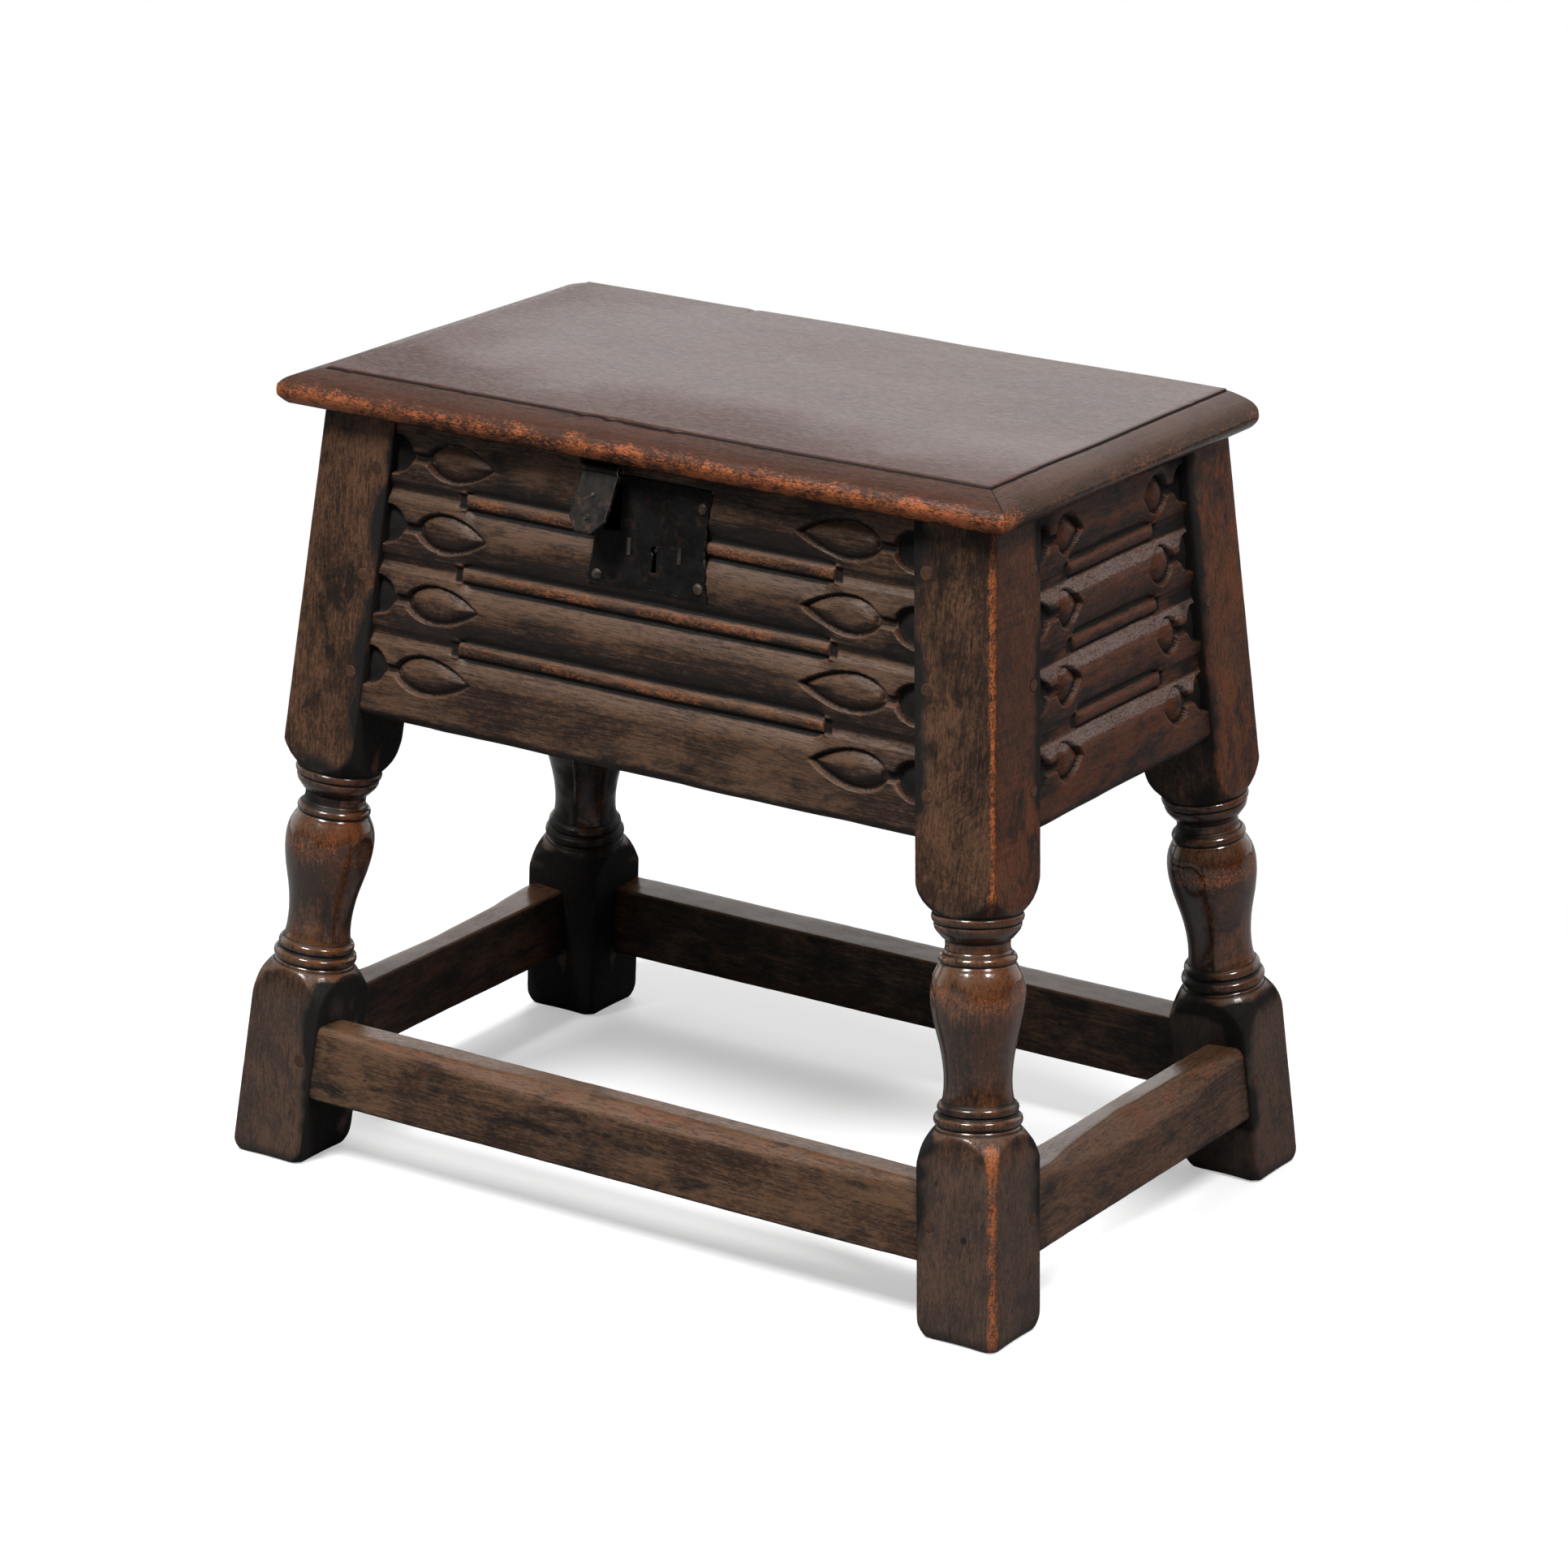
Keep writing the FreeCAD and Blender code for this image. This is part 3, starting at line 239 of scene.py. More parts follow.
def old_marks(mesh, grain, wear=1.0, seed=0.0, extra_wear_and_sheen=0.0, extra_grime_and_shade=0.0, polish=0.0,
              top_sheen=0.0):
    """Marks of age: rubbed edges, grime in hollows, polish, and the run of the grain.
    Also painted light: shade in hollows, under the lid and near the floor, paler upward
    faces, and redder faces towards the right end.
    """
    co, no, bend = corner_shape(mesh)
    height, faces_up, faces_right = co[:, 2], no[:, 2], no[:, 0]
    patchy = 0.75 + 0.45 * lumps(co, 28.0, seed + 1) + 0.35 * lumps(co, 6.0, seed + 2)
    rubbed = ease(0.10, 0.50, bend * np.clip(patchy, 0.1, 2)) * wear
    # Hollows and inward corners are darker: grime, with the shade that falls in them painted in.
    dirt_and_shade = ease(0.05, 0.32, -bend)
    patchy_shade = unit(0.55 + 0.7 * lumps(co, 13.0, seed + 3, 3))
    # Under the lid and in the lowest few millimetres the wood is painted darker: painted shade,
    # made patchy.
    below_lid = ease(448, 467, height) * (height < 467.8)
    shaded = below_lid + 0.8 * ease(9, 1, height)
    sheen = top_sheen * ease(0.75, 0.97, faces_up) * unit(0.8 + 0.4 * lumps(co, 34.0, seed + 5, 3))
    write_marks(
        mesh, rubbed=unit(rubbed + extra_wear_and_sheen),
        grime=unit(dirt_and_shade + extra_grime_and_shade + 0.4 * shaded * patchy_shade), polish=unit(sheen + polish),
        # Upward faces are painted paler: painted light from above, with some dust.
        raised=unit(0.5 + 1.2 * faces_up + 0.35 * lumps(co, 31.0, seed + 4, 3)),
        # Faces towards the right end are painted redder, more so higher up: painted light from that
        # side.
        sunned=ease(0.15, 0.8, faces_right) * (0.35 + 0.65 * ease(110, 260, height)),
        grain=(grain(co) + seed * np.array([211.0, 37.0, 53.0])) * MM)


def place(mesh, body, nodes, slot, material):
    """Makes a finished piece from a mesh: it rides a body and stands for those nodes."""
    piece = bpy.data.objects.new(mesh.name, mesh)
    bpy.context.scene.collection.objects.link(piece)
    mesh.materials.clear()
    mesh.materials.append(material)
    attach(piece, body)
    if nodes:
        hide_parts(*nodes)
    print(piece.name, len(mesh.polygons), "faces")
    return piece

# %% [markdown]
# ## A short way to write node trees
#
# Geometry Nodes and shader nodes are both drawn as boxes joined by threads. Here a thread can be
# added to and multiplied like a number, and every sign places the box that does it. A tree then
# reads like the sum that it works out.

# %% Threads, and how nodes are placed
class Thread:
    """What a node gives out. A name or a number in brackets picks another of its outputs."""

    def __init__(self, tree, socket):
        self.tree, self.socket = tree, socket
        self.is_vector = socket.type in ("VECTOR", "RGBA")

    def __getitem__(self, output):
        return Thread(self.tree, self.socket.node.outputs[output])

    def sum(self, operation, *inputs):
        return (vec if self.is_vector else do)(operation, *inputs)

    def __add__(self, other):
        return self.sum("ADD", self, other)

    def __radd__(self, other):
        return self.sum("ADD", other, self)

    def __sub__(self, other):
        return self.sum("SUBTRACT", self, other)

    def __rsub__(self, other):
        return self.sum("SUBTRACT", other, self)

    def __mul__(self, other):
        by_number = isinstance(other, float) or isinstance(other, Thread) and not other.is_vector
        return self.sum("SCALE" if self.is_vector and by_number else "MULTIPLY", self, other)

    def __truediv__(self, other):
        return self.sum("DIVIDE", self, other)

    def clamped(self):
        self.socket.node.use_clamp = True
        return self


def feed(tree, socket, value):
    """Joins a thread to a socket, or sets the socket to a plain value."""
    if isinstance(value, Thread):
        tree.links.new(value.socket, socket)
    elif value is not None:
        socket.default_value = value


def add(tree, kind, *inputs, named=None, **settings):
    """Places a node, sets it, feeds its inputs in order or by name, and gives its first output."""
    made = tree.nodes.new(kind)
    for key, value in settings.items():
        setattr(made, key, value)
    for socket, value in zip(made.inputs, inputs):
        feed(tree, socket, value)
    for key, value in (named or {}).items():
        feed(tree, made.inputs[key], value)
    return Thread(tree, made.outputs[0]) if made.outputs else None


def tree_of(values):
    """The tree that the threads among some values belong to."""
    return next(v.tree for v in values if isinstance(v, Thread))


def do(operation, *inputs):
    """A sum on numbers."""
    return add(tree_of(inputs), "ShaderNodeMath", *inputs, operation=operation)


def vec(operation, *inputs):
    """A sum on vectors; dot products and lengths come out as numbers."""
    scale = {"Scale": inputs[1]} if operation == "SCALE" else None
    made = add(tree_of(inputs), "ShaderNodeVectorMath", *(inputs[:1] if scale else inputs),
               named=scale, operation=operation)
    return made["Value" if operation in ("DOT_PRODUCT", "LENGTH") else "Vector"]


def remap(value, low, high, to_low=0.0, to_high=1.0):
    """Stretches a value from one range to another, with soft ends."""
    return add(value.tree, "ShaderNodeMapRange", value, low, high, to_low, to_high,
               interpolation_type="SMOOTHSTEP")


def blend(share, first, second):
    """Mixes two colours."""
    return add(tree_of((share, first, second)), "ShaderNodeMix", data_type="RGBA",
               named={"Factor": share, 6: first, 7: second})[2]


def noise(place, scale, detail=3.0, rough=0.55, twist=0.0):
    """Smooth random value from 0 to 1; three scales draw it out along the axes."""
    if isinstance(scale, tuple):
        place, scale = stretch(place, scale), 1.0
    return add(place.tree, "ShaderNodeTexNoise", place, named={
        "Scale": scale, "Detail": detail, "Roughness": rough, "Distortion": twist})["Fac"]


def stretch(place, factors, turn=(0.0, 0.0, 0.0)):
    """Turns and stretches a place, so that what follows it is drawn out."""
    return add(place.tree, "ShaderNodeMapping", place, named={"Scale": factors, "Rotation": turn})


def new_group(name, kind, **inputs):
    """Node group, and its inputs by name. Each is given as a value or as the name of its kind."""
    group = bpy.data.node_groups.new(name, kind)
    for title, value in inputs.items():
        what = value if isinstance(value, str) else {
            int: "Int", float: "Float", tuple: "Color"}[type(value)]
        made = group.interface.new_socket(title.replace("_", " "), in_out="INPUT",
                                          socket_type="NodeSocket" + what)
        if what != value:
            made.default_value = value
    start = group.nodes.new("NodeGroupInput")
    return group, {title: Thread(group, start.outputs[title.replace("_", " ")]) for title in inputs}


def give(group, **found):
    """Makes a group's named outputs from what it has found."""
    kinds = {"VALUE": "Float", "RGBA": "Color", "GEOMETRY": "Geometry"}
    for title, thread in found.items():
        group.interface.new_socket(title, in_out="OUTPUT",
                                   socket_type="NodeSocket" + kinds[thread.socket.type])
    end = group.nodes.new("NodeGroupOutput")
    for title, thread in found.items():
        feed(group, end.inputs[title], thread)


def use_group(tree, group, **values):
    """Places a shader group with its own values."""
    named = {title.replace("_", " "): value for title, value in values.items()}
    made = tree.nodes.new("ShaderNodeGroup")
    made.node_tree = group
    for title, value in named.items():
        feed(tree, made.inputs[title], value)
    return Thread(tree, made.outputs[0])


def colour(red, green, blue):
    """A colour as seen on a screen, from 0 to 255, made linear."""
    shares = (v / 255 for v in (red, green, blue))
    return (*(v / 12.92 if v <= 0.04045 else ((v + 0.055) / 1.055) ** 2.4 for v in shares), 1.0)

# %% [markdown]
# ## Old oak
#
# The wood was pale when it was new. Centuries of wax, smoke and handling left a skin that is
# nearly black in the hollows, brown over the flats, and rubbed through to warm orange-brown
# along the edges. Light is painted into it too: shade in hollows, under the lid, on inner sides
# and near the floor, paler faces that turn up, redder faces towards the right end, a sheen on
# the carved ends' bevels and a glow round the bulbs. Four effects make it, and each is a group
# that every oak finish uses with its own values: the fibre of the wood, the patches of the skin,
# the rubbed edges with their grime and painted shade, and the scratches and worm holes.

# %% Fibre of the wood
fibre_group, got = new_group("oak fibre", "ShaderNodeTree", Grain="Vector", Fineness=1.0)
grain = got["Grain"]
swirl = add(fibre_group, "ShaderNodeTexNoise", grain, named={"Scale": 7.0, "Detail": 2.0})
fine = (grain + swirl["Color"] * 0.010) * got["Fineness"]
strands = remap(noise(fine, (38.0, 640.0, 640.0), 5.0, 0.66), 0.34, 0.68)
pores = remap(noise(fine, (90.0, 1700.0, 1700.0), 2.0, 0.5), 0.58, 0.68)
mottle = remap(noise(grain, (210.0, 430.0, 430.0), 5.0, 0.74, 0.3), 0.38, 0.66)
give(fibre_group, Fibre=strands, Pores=pores, Mottle=mottle,
     Height=strands * 0.45 - pores + mottle * 0.5)

# %% Patches of the old skin
skin_group, got = new_group(
    "waxed skin", "ShaderNodeTree", Grain="Vector", Fibre=0.5, Mottle=0.5, Raised=0.5, Warm=0.0,
    Soot=0.5, Dark=(0, 0, 0, 1), Middle=(0.1, 0.1, 0.1, 1), Pale=(0.2, 0.2, 0.2, 1),
    Warm_Colour=(0.2, 0.1, 0.05, 1))
broad = remap(noise(got["Grain"], (9.0, 24.0, 24.0), 3.0, 0.55, 0.4), 0.34, 0.66)
ragged = noise(got["Grain"], (30.0, 88.0, 88.0), 8.0, 0.76, 0.3)
# Faces that turn up are painted paler and get fewer dark patches: painted light from above, with
# some dust.
patch = remap(ragged + (broad - 0.5) * 0.14 + (0.5 - got["Raised"]) * 0.16, 0.68, 0.44)
tone = got["Fibre"] * 0.34 + got["Mottle"] * 0.30 + broad * 0.36 + (got["Raised"] - 0.5) * 0.55
tone = remap(tone, 0.15, 0.85)
brown = blend(tone, got["Middle"], got["Pale"])
# Faces towards the right end are blended to a redder brown: painted light from that side.
ruddy = blend(tone, blend(0.45, got["Warm_Colour"], got["Dark"]), got["Warm_Colour"])
brown = blend((got["Warm"] * (0.55 + broad * 0.5)).clamped(), brown, ruddy)
give(skin_group, Colour=blend((1.0 - patch) * got["Soot"], brown, got["Dark"]), Patch=patch)

# %% Rubbed edges and grime, with painted shade, sheen and glow
age_group, got = new_group(
    "rubbing and grime", "ShaderNodeTree", Grain="Vector", Rubbed=0.0, Grime=0.0,
    Flat_Colour=(0.1, 0.1, 0.1, 1), Bare_Colour=(0.3, 0.1, 0.03, 1),
    Dirt_Colour=(0.004, 0.003, 0.0025, 1), Rub_Amount=1.0, Dirt_Amount=1.0)
speck = remap(noise(got["Grain"], (380.0, 820.0, 820.0), 4.0, 0.75), 0.30, 0.70)
drift = noise(got["Grain"], 46.0, 4.0, 0.65)
# The rubbed mark also carries a painted sheen on the carved ends and a painted glow on the bulbs.
edge = got["Rubbed"] * 1.30 + (speck * 0.85 + drift * 0.70) - 1.20
bare_and_sheen = remap(edge, 0.0, 0.85) * got["Rub_Amount"]
# The near-black of grime is also the painted shade of hollows, inner sides and the space under the
# lid.
soot_and_shade = remap((got["Grime"] + drift * 0.45) * got["Grime"], 0.06, 0.75)
soot_and_shade = (soot_and_shade * got["Dirt_Amount"]).clamped()
worn = blend(bare_and_sheen, got["Flat_Colour"], got["Bare_Colour"])
give(age_group, Colour=blend(soot_and_shade, worn, got["Dirt_Colour"]), Bare=bare_and_sheen, Dirt=soot_and_shade)

# %% Scratches, dents and worm holes
mark_group, got = new_group("knocks and worm", "ShaderNodeTree", Grain="Vector", Scratches=0.5,
                            Holes=0.3)
lines = [remap(noise(stretch(got["Grain"], (30.0, 1100.0, 420.0), turn), 1.0, 2.0, 0.5), 0.66, 0.74)
         for turn in ((0.3, 0.2, 0.95), (0.9, 0.1, -0.6), (0.1, 0.7, 2.2))]
scratch = do("MAXIMUM", do("MAXIMUM", lines[0], lines[1]), lines[2]) * got["Scratches"]
cells = add(mark_group, "ShaderNodeTexVoronoi", got["Grain"],
            named={"Scale": 105.0, "Randomness": 1.0})
draw = add(mark_group, "ShaderNodeSeparateColor", cells["Color"])
hole = remap(cells["Distance"], 0.10, 0.055) * do("LESS_THAN", draw, got["Holes"] * 0.12)
give(mark_group, Scratch=scratch, Hole=hole, Height=do("MAXIMUM", scratch, hole * 2.0) * -1.0)

# %% A dark spot at one place
spot_group, got = new_group("dark spot", "ShaderNodeTree", Place="Vector", Middle="Vector",
                            Radius=0.003, Ragged=0.5)
torn_edge = noise(got["Place"], 420.0, 3.0, 0.6) - 0.5
reach = vec("LENGTH", got["Place"] - got["Middle"]) / got["Radius"] + torn_edge * got["Ragged"]
give(spot_group, Spot=remap(reach, 1.15, 0.70))

# %% Marks of the pit saw
saw_group, got = new_group("saw marks", "ShaderNodeTree", Place="Vector", Middle="Vector",
                           Size="Vector", Lines=520.0)
inside = vec("LENGTH", (got["Place"] - got["Middle"]) / got["Size"])
turned = add(saw_group, "ShaderNodeVectorRotate", got["Place"],
             named={"Angle": 0.72, "Axis": (0.0, 1.0, 0.0)})
parts = add(saw_group, "ShaderNodeSeparateXYZ", turned)
drawn_out = add(saw_group, "ShaderNodeCombineXYZ",
                parts["X"] * 13.0, 0.0, parts["Z"] * got["Lines"])
cuts = remap(noise(drawn_out, 1.0, 4.0, 0.7), 0.44, 0.64)
give(saw_group, Mark=cuts * remap(inside, 1.0, 0.65))

# %% [markdown]
# ## One recipe, several finishes
#
# The lid's top is waxed and handled, the front is duller and greyer, the turnings are polished,
# and the inside of the box was never finished at all. They share the groups above. The gloss
# stays in each finish: a waxed face has a soft sheen, and grime has none. Faces that turn
# towards the right end are painted a redder brown, as painted light from that side.

# %% The recipe for an oak finish
DUST = colour(60, 52, 49)


def new_material(name):
    """A material, and its node tree with nothing in it."""
    material = bpy.data.materials.new(name)
    material.use_nodes = True
    material.node_tree.nodes.clear()
    return material, material.node_tree


def read_mark(tree, name, output="Fac"):
    """A mark stored on the points of a piece."""
    return add(tree, "ShaderNodeAttribute", attribute_name=name, attribute_type="GEOMETRY")[output]


def metres(*sizes):
    """Sizes in metres, from millimetres."""
    return tuple(v * MM for v in sizes)


def oak_finish(name, dark, middle, pale, bare_and_sheen, right_light_colour, soot_and_shade=0.8, rub=1.0, dirt_and_shade=1.0, scratches=0.4,
               holes=0.3, rough=0.5, gloss=0.35, shine=0.22, coat=0.0, coat_rough=0.25,
               fineness=1.0, relief=1.0, spots=(), sawn=(), dusty=0.0):
    """Finish for one part. In mm: spots are x, y, z, radius, strength, and sawn x, y, z, sizes."""
    dark, middle, pale, bare_and_sheen, right_light_colour = (colour(*c) for c in (dark, middle, pale, bare_and_sheen, right_light_colour))
    material, t = new_material(name)
    grain = read_mark(t, "grain", "Vector")
    rubbed, grime, polish, sunned, raised = (
        read_mark(t, n) for n in ("rubbed", "grime", "polish", "sunned", "raised"))
    fibre = use_group(t, fibre_group, Grain=grain, Fineness=fineness)
    skin = use_group(t, skin_group, Grain=grain, Fibre=fibre["Fibre"], Mottle=fibre["Mottle"],
                     Raised=raised, Warm=sunned, Soot=soot_and_shade, Dark=dark, Middle=middle, Pale=pale,
                     Warm_Colour=right_light_colour)
    knocks = use_group(t, mark_group, Grain=grain, Scratches=scratches, Holes=holes)
    colours = blend(fibre["Pores"] * 0.6, skin["Colour"], dark)
    where = add(t, "ShaderNodeTexCoord")["Object"] if spots else None
    if dusty:
        near_floor = remap(add(t, "ShaderNodeSeparateXYZ", where)["Z"], 0.116, 0.100)
        colours = blend(near_floor * dusty, colours, DUST)
    age = use_group(t, age_group, Grain=grain, Rubbed=rubbed, Grime=grime, Flat_Colour=colours,
                    Bare_Colour=bare_and_sheen, Rub_Amount=rub, Dirt_Amount=dirt_and_shade)
    colours = blend(knocks["Scratch"] * 0.6, age["Colour"], dark)
    colours = blend(knocks["Hole"], colours, (0.002, 0.0015, 0.001, 1))
    for *at, wide, deep, high in sawn:
        cut = use_group(t, saw_group, Place=where, Middle=metres(*at),
                        Size=metres(wide, deep, high))
        colours = blend(cut["Mark"] * 0.5, colours, dark)
    for *at, radius, strength in spots:
        spot = use_group(t, spot_group, Place=where, Middle=metres(*at), Radius=radius * MM)
        colours = blend(spot["Spot"] * strength, colours, (0.004, 0.003, 0.003, 1))
    dull = rough + age["Dirt"] * 0.35 - polish * gloss
    dull = dull + (0.5 - fibre["Mottle"]) * 0.14 + fibre["Pores"] * 0.1
    height = (fibre["Height"] * 0.10 + knocks["Height"] * 0.35) * (1.0 - polish * 0.85)
    bump = add(t, "ShaderNodeBump", named={"Strength": relief, "Distance": 0.001, "Height": height})
    coated = (1.0 - age["Dirt"]).clamped() * polish * coat if coat else None
    shader = add(t, "ShaderNodeBsdfPrincipled", named={
        "Base Color": colours, "Roughness": dull.clamped(), "Normal": bump,
        "Specular IOR Level": shine, "Coat Weight": coated, "Coat Roughness": coat_rough})
    add(t, "ShaderNodeOutputMaterial", shader)
    return material


LEG_SPOTS = ((200, -117.5, 365, 3.4, 0.85), (246.7, -174.5, 63, 2.2, 0.8),
             (236.7, -127.1, 389, 7.0, 0.35), (226, -172.0, 92, 1.5, 0.6),
             (262, -171.0, 84, 1.4, 0.6), (212, -128, 300, 2.0, 0.5))
LEG_SAWN = ((238, -138, 318, 40, 30, 52), (236, -128, 420, 30, 30, 36))
LID_SPOTS = ((58.2, -21.4, 490, 3.2, 0.8), (112, -66, 490, 1.3, 0.5), (-60, 40, 490, 1.0, 0.4),
             (150, -90, 490, 1.2, 0.5), (-150, -40, 490, 1.1, 0.4))
# Each finish has five colours: dark, middle, pale, rubbed bare (a painted sheen on the carved
# ends), and the redder one painted as light on faces towards the right end
oak_top = oak_finish(
    "oak waxed top", (24, 12, 9), (38, 20, 14), (54, 30, 22), (92, 48, 28), (70, 34, 20),
    soot_and_shade=0.45, scratches=0.2, holes=0.05, rough=0.36, gloss=0.0, shine=0.17, coat=0.68,
    coat_rough=0.2, relief=0.3, spots=LID_SPOTS)
oak_edge = oak_finish(
    "oak rubbed moulding", (16, 10, 7), (34, 20, 14), (54, 33, 24), (124, 68, 38), (50, 34, 25),
    soot_and_shade=0.85, scratches=0.25, rough=0.42, shine=0.14, relief=0.9)
oak_panel = oak_finish(
    "oak carved front", (10, 6, 5), (27, 16, 11), (70, 50, 36), (108, 62, 34), (66, 33, 17),
    soot_and_shade=0.9, scratches=0.3, rough=0.44, shine=0.2)
# The ends' rubbed colour, a pale mauve-grey, is a painted sheen on their upward bevels, not bare
# wood.
oak_panel_end = oak_finish(
    "oak carved ends", (9, 5, 4), (27, 15, 9), (68, 39, 23), (88, 74, 70), (66, 32, 13),
    soot_and_shade=0.9, scratches=0.3, rough=0.42, shine=0.18)
oak_leg = oak_finish(
    "oak legs", (16, 10, 7), (34, 21, 14), (76, 52, 36), (128, 70, 35), (84, 41, 14), soot_and_shade=0.9,
    scratches=0.9, holes=0.5, rough=0.44, gloss=0.32, shine=0.2, coat=0.7, coat_rough=0.06,
    spots=LEG_SPOTS, sawn=LEG_SAWN, dusty=0.4)
oak_rail = oak_finish(
    "oak stretchers", (14, 9, 6), (36, 21, 13), (80, 57, 40), (98, 51, 29), (74, 38, 20),
    soot_and_shade=0.95, scratches=0.35, rough=0.42, shine=0.24, coat=0.6, coat_rough=0.24)
oak_inside = oak_finish(
    "oak unfinished inside", (74, 54, 36), (100, 74, 50), (128, 98, 68), (140, 102, 68),
    (128, 92, 60), soot_and_shade=0.3, rough=0.75, gloss=0.05, shine=0.15, dirt_and_shade=0.7)
oak_end = oak_finish(
    "oak peg ends", (16, 10, 7), (44, 26, 16), (72, 46, 29), (100, 62, 36), (84, 44, 22),
    soot_and_shade=0.5, rough=0.5, fineness=2.2)
print("oak finishes", [m.name for m in bpy.data.materials])

# %% [markdown]
# ## Forged iron
#
# The lock plate, hasp and nails were hammered out of bar. Their skin is a dull black-brown
# scale, a little lighter and smoother where fingers and the hasp have rubbed it.

# %% The recipe for an iron finish
def iron_finish(name, dark, pale, metal, shine, rough=0.5, rust=0.25):
    """Finish for forged iron, between a dark and a pale colour."""
    material, t = new_material(name)
    where = add(t, "ShaderNodeTexCoord")["Object"]
    hammer = add(t, "ShaderNodeTexVoronoi", where, feature="SMOOTH_F1",
                 named={"Scale": 190.0, "Smoothness": 0.6, "Randomness": 1.0})["Distance"]
    mottle = noise(where, 70.0, 5.0, 0.62, 0.4)
    grit = noise(where, 900.0, 3.0, 0.6)
    skin = blend(remap(mottle, 0.35, 0.68), colour(*dark), colour(*pale))
    browned = remap(noise(where, 130.0, 4.0, 0.7, 0.8), 0.52, 0.70, 0.0, rust)
    skin = blend(browned, skin, colour(84, 52, 34))
    age = use_group(t, age_group, Grain=where, Rubbed=read_mark(t, "rubbed"),
                    Grime=read_mark(t, "grime"), Flat_Colour=skin, Bare_Colour=colour(112, 104, 96),
                    Dirt_Amount=0.8)
    dull = rough + (mottle - 0.5) * 0.5 - age["Bare"] * 0.18 + browned * 0.4
    bare_metal = metal - (browned + age["Dirt"]) * 0.5
    bump = add(t, "ShaderNodeBump", named={
        "Strength": 0.8, "Distance": 0.001, "Height": hammer * 0.22 + grit * 0.05})
    shader = add(t, "ShaderNodeBsdfPrincipled", named={
        "Base Color": age["Colour"], "Roughness": dull.clamped(), "Metallic": bare_metal.clamped(),
        "Specular IOR Level": shine, "Normal": bump})
    add(t, "ShaderNodeOutputMaterial", shader)
    return material


iron_plate = iron_finish("iron lock plate", (6, 6, 6), (14, 14, 14), 0.2, 0.12,
                         rough=0.55, rust=0.12)
iron_hasp = iron_finish("iron hasp", (10, 8, 7), (25, 20, 17), 0.2, 0.14)
iron_nail = iron_finish("iron nails", (24, 21, 20), (70, 62, 54), 0.4, 0.3)

# %% [markdown]
# ## The legs
#
# A leg starts as a square post. It goes on the lathe only between two marks, so the blocks
# above and below stay square, and where they meet the turning their corners are cut to round
# shoulders: every point is as far from the axis as the square or the lathe's tool leaves it,
# whichever is nearer. That is a rule, so Geometry Nodes make the leg from a flat sheet whose
# points know their turn about the axis, their height and the tool's distance there.

# %% What the lathe left: height above the floor, radius
TURNING = np.array([
    (96, 38.5), (100, 36.2), (104, 34.6), (108, 32.9), (111.5, 30.9), (114.5, 28.6), (117, 26.6),
    (118.4, 25.4), (118.9, 24.5), (120.3, 24.3), (120.9, 23.3), (121.4, 24.1), (122.6, 25.1),
    (124.3, 25.4), (126, 25.0), (127.2, 23.8), (127.7, 22.0), (128.4, 22.2), (129.4, 22.9),
    (131, 23.2), (132.6, 22.8), (133.7, 21.9), (134.2, 20.6), (135.6, 20.3), (137.5, 19.9),
    (141, 19.5), (146, 19.35), (151, 19.5), (156, 20.0), (161, 20.7), (167, 21.9), (173, 23.4),
    (179, 24.9), (185, 26.0), (190, 26.7), (195, 27.0), (199, 26.9), (203, 26.4), (206.5, 25.4),
    (209.5, 24.0), (212, 22.6), (213.4, 22.0), (213.9, 21.0), (214.5, 21.5), (215.6, 22.3),
    (216.8, 22.35), (218, 21.8), (219.1, 20.8), (219.5, 19.6), (220.6, 19.3), (221.4, 18.7),
    (224, 18.4), (226.5, 18.6), (227.6, 19.4), (228.2, 20.4), (229.6, 21.5), (231.2, 22.9),
    (233, 24.2), (235, 24.9), (236.2, 25.0), (236.7, 24.1), (237.3, 24.8), (238.2, 25.9),
    (240.2, 26.3), (241.6, 25.9), (242.2, 24.8), (242.8, 25.4), (243.8, 26.4), (246, 28.6),
    (249, 31.2), (253.5, 33.8), (258, 35.4), (264, 37.4), (270, 39.0)])


# %% The node tree that shapes a leg
def stored(tree, name, kind="FLOAT"):
    """A value that the points carry, inside Geometry Nodes."""
    return add(tree, "GeometryNodeInputNamedAttribute", data_type=kind, named={"Name": name})


def finished(group, shape, finish, title):
    """Ends a geometry tree: one real mesh with one finish."""
    whole = add(group, "GeometryNodeRealizeInstances", shape)
    give(group, **{title: add(group, "GeometryNodeSetMaterial", whole, named={"Material": finish})})


